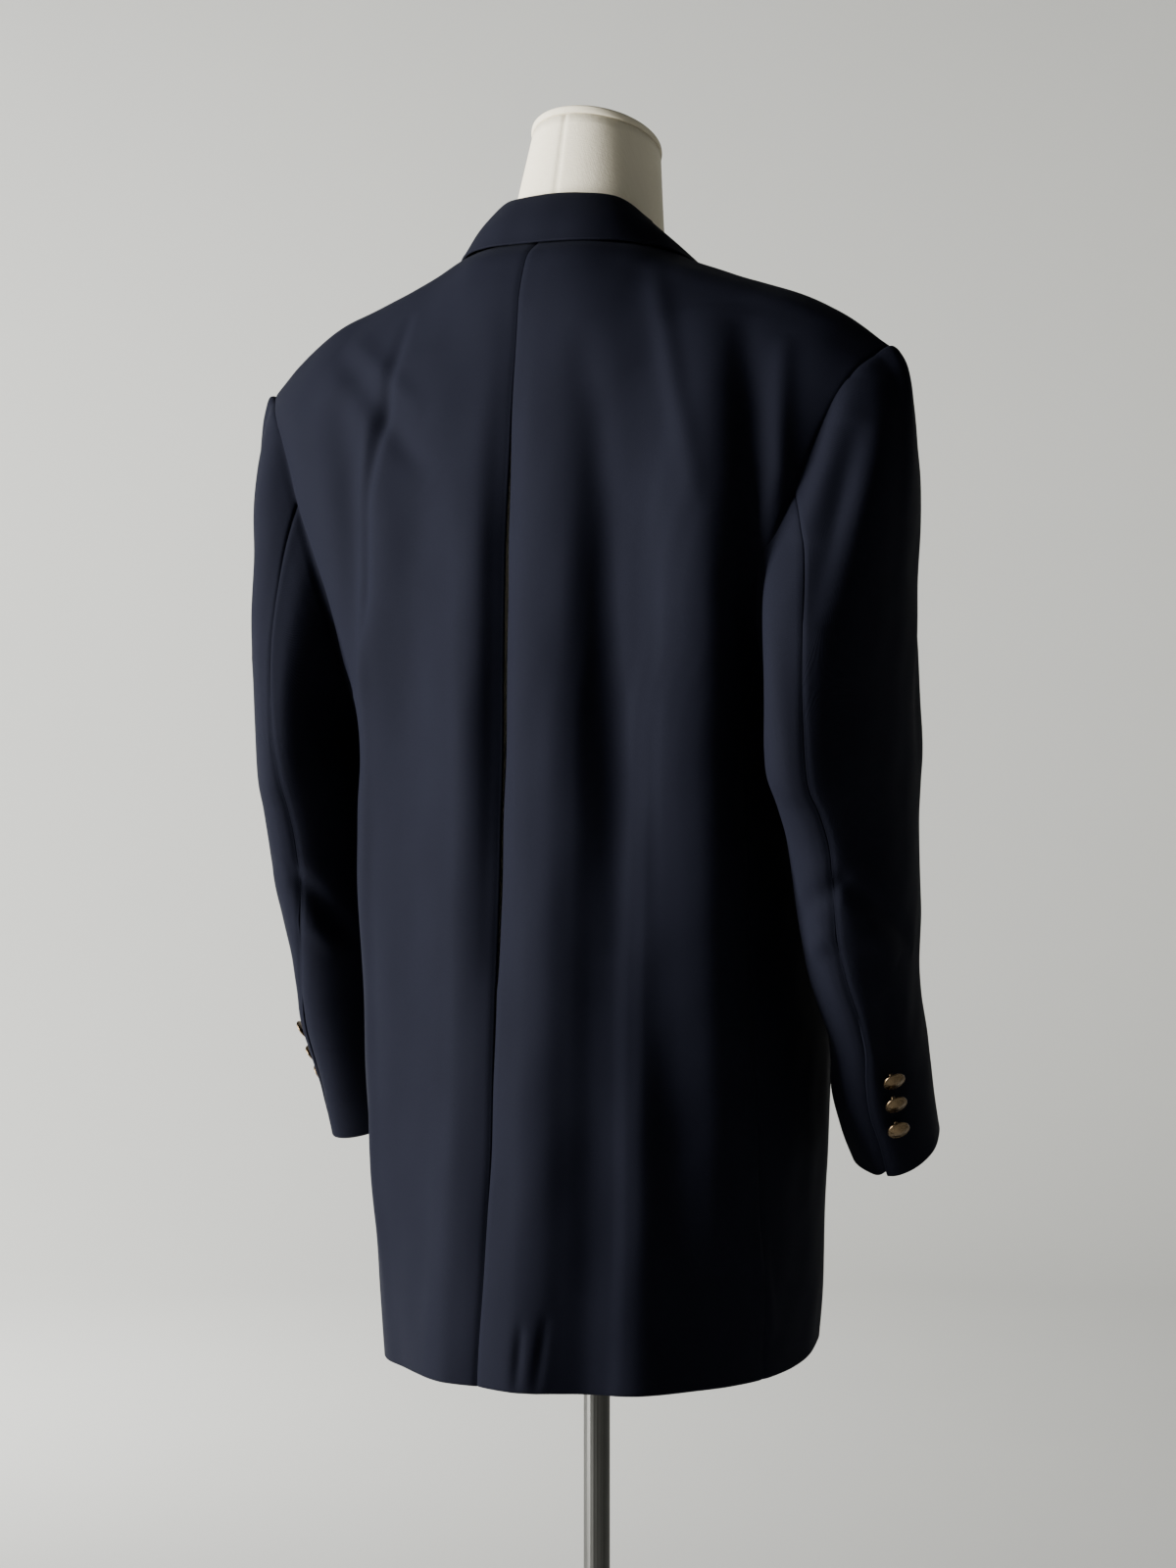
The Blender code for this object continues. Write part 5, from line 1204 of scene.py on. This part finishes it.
def make_sleeves(cloth):
    """Upper and under sleeves, with the vent's overlap at the cuff."""
    for side in (1, -1):
        creases = LEFT_SLEEVE_CREASES if side > 0 else RIGHT_SLEEVE_CREASES
        for upper in (True, False):
            grid, turns = sleeve_grid(side, upper)
            grid = mirrored(np.concatenate((tucked_row(side, turns[0]), grid)), side)
            node = "sleeve_{}_{}".format("upper" if upper else "under", side_name(side))
            cloth_piece(node, grid, sleeve_axis_grid(side), cloth,
                        (False, False, True, True), creases, vent_lift if upper else None)


def tucked_row(side, turns):
    """First row of a sleeve, sewn in under the edge of the armhole."""
    row = []
    for angle in turns:
        inward = armhole_away(side, angle) * HEAD_TUCK + armhole_normal(side, angle) * HEAD_TUCK_DEPTH
        row.append(armhole_point(side, angle) - inward)
    return np.array([row])


def sleeve_axis_grid(side):
    """Middle of the sleeve beside each row of a sleeve's fine grid."""
    rows = []
    for length in [0.0] + sleeve_lengths():
        points = [sleeve_point(side, length, angle) for angle in QUARTER_TURNS]
        rows.append(np.mean(points, axis=0))
    axis = np.repeat(mirrored(rows, side)[:, None, :], 2, axis=1)
    return resampled(axis, fine_places(len(rows) - 1), 0)[:, :1]


def vent_lift(grid):
    """Rise of the upper sleeve's back edge where it laps over the under sleeve at the cuff."""
    down = np.linspace(0.0, 1.0, grid.shape[0])[:, None]
    rise = np.clip((down - VENT_START) / VENT_FADE, 0.0, 1.0)
    return VENT_LIFT * rise * np.exp(-(from_last_column(grid) / VENT_WIDTH) ** 2)


# ---------------------------------------------------------------- buttons, form and stand
def fine_profile(radius, shank, dome):
    """Domed shank button: shank, plate, rim bead, dish and dome."""
    return ((SHANK_RADIUS, -BUTTON_SINK), (SHANK_RADIUS, shank),
            *((radius * wide, shank + dome * rise) for wide, rise in BUTTON_FACE))


def turned_piece(name, profile, place, axis, material):
    """A piece of revolution: profile rows of radius and height along the axis."""
    axis = unit(axis)
    first = unit(np.cross(axis, (0.0, 0.0, 1.0) if abs(axis[2]) < 0.9 else (1.0, 0.0, 0.0)))
    second = np.cross(axis, first)
    points, rings, faces = [], [], []
    for radius, height in profile:
        centre = np.asarray(place) + axis * height
        turns = 1 if radius <= 0.0 else BUTTON_TURNS
        rings.append(list(range(len(points), len(points) + turns)))
        for index in range(turns):
            angle = 2.0 * math.pi * index / BUTTON_TURNS
            points.append(centre + (first * math.cos(angle) + second * math.sin(angle)) * radius)
    for low, high in zip(rings, rings[1:]):
        for index in range(BUTTON_TURNS):
            after = (index + 1) % BUTTON_TURNS
            face = (low[index], low[after], high[after % len(high)], high[index % len(high)])
            faces.append(tuple(dict.fromkeys(face)))
    faces.append(tuple(reversed(rings[0])))
    mesh = smooth_mesh(name, [tuple(point) for point in points], faces)
    mesh.set_sharp_from_angle(angle=BUTTON_SHARP_ANGLE)
    return new_piece(name, mesh, material)


def make_buttons(metal):
    """Cuff and front buttons."""
    for side in (1, -1):
        rows = CUFF_BUTTONS_LEFT if side > 0 else CUFF_BUTTONS_RIGHT
        profile = fine_profile(SLEEVE_BUTTON_RADIUS, SLEEVE_BUTTON_SHANK, SLEEVE_BUTTON_DOME)
        for index, (length, turn, sag) in enumerate(rows):
            angle = back_seam_angle(side, length) - turn
            node = "cuff_button_{}_{}".format(side_name(side), index + 1)
            place = mirrored(sleeve_point(side, length, angle), side)
            axis = mirrored(sagged_axis(side, length, angle, sag), side)
            finish_button(node, profile, place, axis, metal)
    profile = fine_profile(FRONT_BUTTON_RADIUS, FRONT_BUTTON_SHANK, FRONT_BUTTON_DOME)
    for index, height in enumerate(FRONT_BUTTON_HEIGHTS):
        place = (0.0, front_surface(1, 0.0, height) - LAY_OVER, height)
        finish_button("front_button_{}".format(index + 1), profile, place, (0.0, -1.0, 0.0), metal)


def finish_button(node, profile, place, axis, metal):
    """One button in place of its plainer solid."""
    piece = turned_piece(node + "_metal", profile, place, axis, metal)
    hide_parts(node)


def neck_reach(angle):
    """Reach of the neck's lowest ring in one direction."""
    wide, deep = NECK[0][1:3]
    return 1.0 / math.hypot(math.sin(angle) / wide, math.cos(angle) / deep)


def make_torso(linen):
    """The form's linen cover, with its neck."""
    rings = []
    for height in FORM_LEVELS:
        row = smooth_rows(FORM, height)
        ring = []
        for index in range(FORM_SIDES):
            angle = 2.0 * math.pi * index / FORM_SIDES
            reach = form_radius(row, angle, height)
            if height > NECK_BASE_HEIGHT:
                reach = max(reach, neck_reach(angle))
            ring.append((reach * math.sin(angle), FORM_AXIS_DEPTH + reach * math.cos(angle), height))
        rings.append(ring)
    foot, top = NECK[0][0], NECK[-1][0]
    for height, wide, deep, middle in NECK:
        tilt = NECK_TOP_TILT * ease((height - foot) / (top - foot))
        rings.append(tilted_ring(wide, deep, middle, height, tilt))
    torso = tube_piece("form_torso_linen", np.array(rings), linen, FORM_STEPS, FORM_SEAM_DEPTH)
    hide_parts("form_torso")


def make_neck_cap(linen):
    """The linen-covered cap on the neck."""
    top, wide, deep, middle = NECK[-1]
    rings = []
    for grow, rise in NECK_CAP_FACE:
        height = top + NECK_CAP_GAP + NECK_CAP_THICKNESS * rise
        rings.append(tilted_ring(wide + grow, deep + grow, middle, height, NECK_TOP_TILT))
    cap = tube_piece("form_neck_cap_linen", np.array(rings), linen, NECK_CAP_STEPS, 0.0)
    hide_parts("form_neck_cap")


def tube_piece(name, rings, material, steps, seam_depth):
    """A closed round piece, its rings carried smoothly round and up, with a sunk seam at the back."""
    wrapped = np.concatenate((rings[:, -1:], rings, rings[:, :2]), axis=1)
    around = resampled(wrapped, 1.0 + np.arange(rings.shape[1] * steps) / steps, 1)
    grid = resampled(around, np.arange((rings.shape[0] - 1) * steps + 1) / steps, 0)
    levels, turns = grid.shape[:2]
    away = grid - grid.mean(axis=1, keepdims=True)
    away /= np.maximum(np.linalg.norm(away, axis=2, keepdims=True), 1e-9)
    from_seam = np.minimum(np.arange(turns), turns - np.arange(turns))
    grid -= away * (seam_depth * np.exp(-from_seam ** 2.0))[:, None]
    index = np.arange(levels * turns).reshape(levels, turns)
    after = np.roll(index, -1, axis=1)
    faces = np.stack((index[:-1], after[:-1], after[1:], index[1:]), axis=-1).reshape(-1, 4).tolist()
    points = grid.reshape(-1, 3).tolist()
    for ring, flip in ((0, True), (levels - 1, False)):
        middle = len(points)
        points.append(grid[ring].mean(axis=0).tolist())
        for start, end in zip(index[ring].tolist(), after[ring].tolist()):
            faces.append((middle, end, start) if flip else (start, end, middle))
    first, second, third = (np.array([points[face[corner]] for face in faces]) for corner in range(3))
    if float(np.sum(first * np.cross(second, third))) < 0.0:
        faces = [tuple(reversed(face)) for face in faces]
    mesh = smooth_mesh(name, points, faces)
    lay_cloth(mesh, np.concatenate((cloth_places(grid), np.zeros((2, 2)))))
    return new_piece(name, mesh, material)


# ---------------------------------------------------------------- materials
class Look:
    """A material in the making: its shader, and short ways to add nodes and join them."""

    def __init__(self, name, finish):
        """A new material with some of its shader's sockets set by name."""
        self.material = bpy.data.materials.new(name)
        self.material.use_nodes = True
        self.nodes = self.material.node_tree.nodes
        self.shader = self.nodes["Principled BSDF"]
        self.places = self.nodes.new("ShaderNodeTexCoord")
        for socket, value in finish.items():
            self.shader.inputs[socket].default_value = value

    def join(self, source, node, socket):
        """Links an output to a node's input."""
        self.material.node_tree.links.new(source, node.inputs[socket])

    def texture(self, kind, coordinates, stretch, **values):
        """A texture read along stretched coordinates, with its inputs set by name."""
        mapping = self.nodes.new("ShaderNodeMapping")
        mapping.inputs["Scale"].default_value = stretch
        self.join(self.places.outputs[coordinates], mapping, "Vector")
        node = self.nodes.new(kind)
        for socket, value in values.items():
            node.inputs[socket].default_value = value
        self.join(mapping.outputs["Vector"], node, "Vector")
        return node

    def noise(self, coordinates, stretch, detail, roughness):
        """The output of a noise."""
        node = self.texture("ShaderNodeTexNoise", coordinates, stretch, Scale=1.0, Detail=detail,
                            Roughness=roughness)
        return node.outputs["Fac"]

    def mix(self, factor, colors):
        """A mix of a dark and a light colour by a factor."""
        node = self.nodes.new("ShaderNodeMix")
        node.data_type = "RGBA"
        node.inputs["A"].default_value = (*colors[0], 1.0)
        node.inputs["B"].default_value = (*colors[1], 1.0)
        self.join(factor, node, "Factor")
        return node.outputs["Result"]

    def maths(self, operation, first, second):
        """The result of a sum or product of an output and another output or number."""
        node = self.nodes.new("ShaderNodeMath")
        node.operation = operation
        self.join(first, node, 0)
        if isinstance(second, float):
            node.inputs[1].default_value = second
        else:
            self.join(second, node, 1)
        return node.outputs["Value"]

    def bump(self, height, strength, distance, under=None):
        """A bump on the shader, over another one where it is given."""
        node = self.nodes.new("ShaderNodeBump")
        node.inputs["Strength"].default_value = strength
        node.inputs["Distance"].default_value = distance
        self.join(height, node, "Height")
        if under is not None:
            self.join(under.outputs["Normal"], node, "Normal")
        self.join(node.outputs["Normal"], self.shader, "Normal")
        return node


def wool_material(name):
    """Fine navy worsted: a twill bump, heather in the colour and a faint sheen."""
    look = Look(name, WOOL_FINISH)
    heather = look.noise("UV", (1500.0, 700.0, 1.0), 3.0, 0.7)
    broad = look.noise("Object", (9.0, 9.0, 9.0), 4.0, 0.6)
    tint = look.nodes.new("ShaderNodeMix")
    tint.data_type = "RGBA"
    tint.blend_type = "MULTIPLY"
    tint.inputs["Factor"].default_value = 1.0
    look.join(look.mix(heather, WOOL), tint, "A")
    look.join(look.mix(broad, WOOL_TINTS), tint, "B")
    look.join(tint.outputs["Result"], look.shader, "Base Color")
    twill = look.texture("ShaderNodeTexWave", "UV", (1000.0, 1000.0, 1.0), Scale=0.55, Distortion=0.6,
                         Detail=1.0)
    twill.bands_direction = "DIAGONAL"
    coarse = look.bump(heather, 0.30, 0.0005)
    look.bump(twill.outputs["Fac"], 0.35, 0.0002, coarse)
    return look.material


def linen_material(name, colors):
    """Cream linen: plain weave with slubs."""
    look = Look(name, LINEN_FINISH)
    slub = look.noise("UV", (160.0, 1300.0, 1.0), 4.0, 0.65)
    warp = look.noise("UV", (1300.0, 160.0, 1.0), 4.0, 0.65)
    both = look.maths("ADD", slub, warp)
    look.join(look.mix(look.maths("MULTIPLY", both, 0.5), colors), look.shader, "Base Color")
    look.bump(both, 0.45, 0.0005)
    return look.material


def metal_material(name, colors, roughness, stretch):
    """Worn metal with streaked colour and gloss."""
    look = Look(name, METAL_FINISH)
    streak = look.noise("Object", stretch, 5.0, 0.6)
    look.join(look.mix(streak, colors), look.shader, "Base Color")
    gloss = look.nodes.new("ShaderNodeMapRange")
    for socket, share in zip(("To Min", "To Max"), METAL_GLOSS_RANGE):
        gloss.inputs[socket].default_value = roughness * share
    look.join(streak, gloss, "Value")
    look.join(gloss.outputs["Result"], look.shader, "Roughness")
    look.bump(streak, 0.12, 0.0002)
    return look.material


def stage_material(name, color):
    """Matt paint with a faint mottle."""
    look = Look(name, PAINT_FINISH)
    darker = tuple(value * STAGE_MOTTLE for value in color)
    mottle = look.noise("Object", (3.0, 3.0, 3.0), 3.0, 0.5)
    look.join(look.mix(mottle, (darker, color)), look.shader, "Base Color")
    return look.material


# ---------------------------------------------------------------- stage, light and camera
def make_stage():
    """A pale round floor that curves up into a wall all round."""
    profile = [(radius, 0.0) for radius in STAGE_FLOOR_RADII]
    for index in range(STAGE_BEND_STEPS + 1):
        bend = math.radians(90.0 * index / STAGE_BEND_STEPS)
        profile.append((STAGE_RADIUS - STAGE_BEND_RADIUS + STAGE_BEND_RADIUS * math.sin(bend),
                        STAGE_BEND_RADIUS - STAGE_BEND_RADIUS * math.cos(bend)))
    profile.append((STAGE_RADIUS, STAGE_TOP))
    points, faces = [], []
    for radius, height in profile:
        for index in range(STAGE_SIDES):
            angle = 2.0 * math.pi * index / STAGE_SIDES
            points.append((radius * math.sin(angle), radius * math.cos(angle), height - STAGE_DROP))
    for low in range(0, (len(profile) - 1) * STAGE_SIDES, STAGE_SIDES):
        high = low + STAGE_SIDES
        for index in range(STAGE_SIDES):
            after = (index + 1) % STAGE_SIDES
            faces.append((low + index, low + after, high + after, high + index))
    mesh = smooth_mesh("stage_sweep", points, faces)
    mesh.materials.append(stage_material("stage_paint", STAGE_PAINT))
    stage = bpy.data.objects.new("stage_sweep", mesh)
    bpy.context.scene.collection.objects.link(stage)


def in_view(left, toward, height):
    """A place given from the viewpoint: to its left, toward it and up."""
    return -LOOK_RIGHT * left - LOOK_ALONG * toward + np.array((0.0, 0.0, height))


def aim(thing, place, way):
    """Puts a light or camera at a place, looking along a way."""
    thing.location = place
    thing.rotation_mode = "QUATERNION"
    thing.rotation_quaternion = Vector(way).to_track_quat("-Z", "Y")
    bpy.context.scene.collection.objects.link(thing)


def make_lights():
    """A window-like light from the left, a weak one from the right, one on the wall, a pale surround."""
    for name, place, target, size, power, color in LIGHTS:
        data = bpy.data.lights.new(name, "AREA")
        data.shape = "RECTANGLE"
        data.size, data.size_y = size
        data.energy = power
        data.color = color
        start = in_view(*place)
        aim(bpy.data.objects.new(name, data), start, in_view(*target) - start)
    world = bpy.data.worlds.new("surround")
    world.use_nodes = True
    background = world.node_tree.nodes["Background"]
    background.inputs["Color"].default_value = SURROUND_COLOR
    background.inputs["Strength"].default_value = SURROUND_STRENGTH
    bpy.context.scene.world = world


def make_camera():
    """The photograph's viewpoint."""
    data = bpy.data.cameras.new("view_camera")
    data.sensor_width = CAMERA_SENSOR
    data.lens = CAMERA_LENS
    data.shift_x, data.shift_y = CAMERA_SHIFT
    camera = bpy.data.objects.new("view_camera", data)
    aim(camera, in_view(0.0, CAMERA_DISTANCE, CAMERA_HEIGHT), LOOK_ALONG)
    bpy.context.scene.camera = camera


def paint_stand():
    """Better metal on the stand's own solids."""
    for node, name, colors, roughness, stretch in (
            ("stand_pole", "brushed_pole", POLE_STEEL, 0.36, (520.0, 520.0, 3.0)),
            ("stand_foot", "foot_steel", FOOT_STEEL, 0.42, (30.0, 30.0, 30.0))):
        metal = metal_material(name, colors, roughness, stretch)
        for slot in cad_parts[node].material_slots:
            slot.material = metal


def main():
    """Dress the frame."""
    body_wool = wool_material("body_wool")
    sleeve_wool = wool_material("sleeve_wool")
    collar_wool = wool_material("collar_wool")
    linen = linen_material("linen_cover", LINEN)
    cap_linen = linen_material("linen_cap", CAP_LINEN)
    gilt = metal_material("aged_gilt", AGED_GILT, 0.26, (260.0, 260.0, 260.0))
    make_camera()
    make_stage()
    make_lights()
    make_body(body_wool)
    make_sleeves(sleeve_wool)
    make_collar(collar_wool)
    make_lapels(collar_wool)
    make_buttons(gilt)
    make_torso(linen)
    make_neck_cap(cap_linen)
    paint_stand()


main()
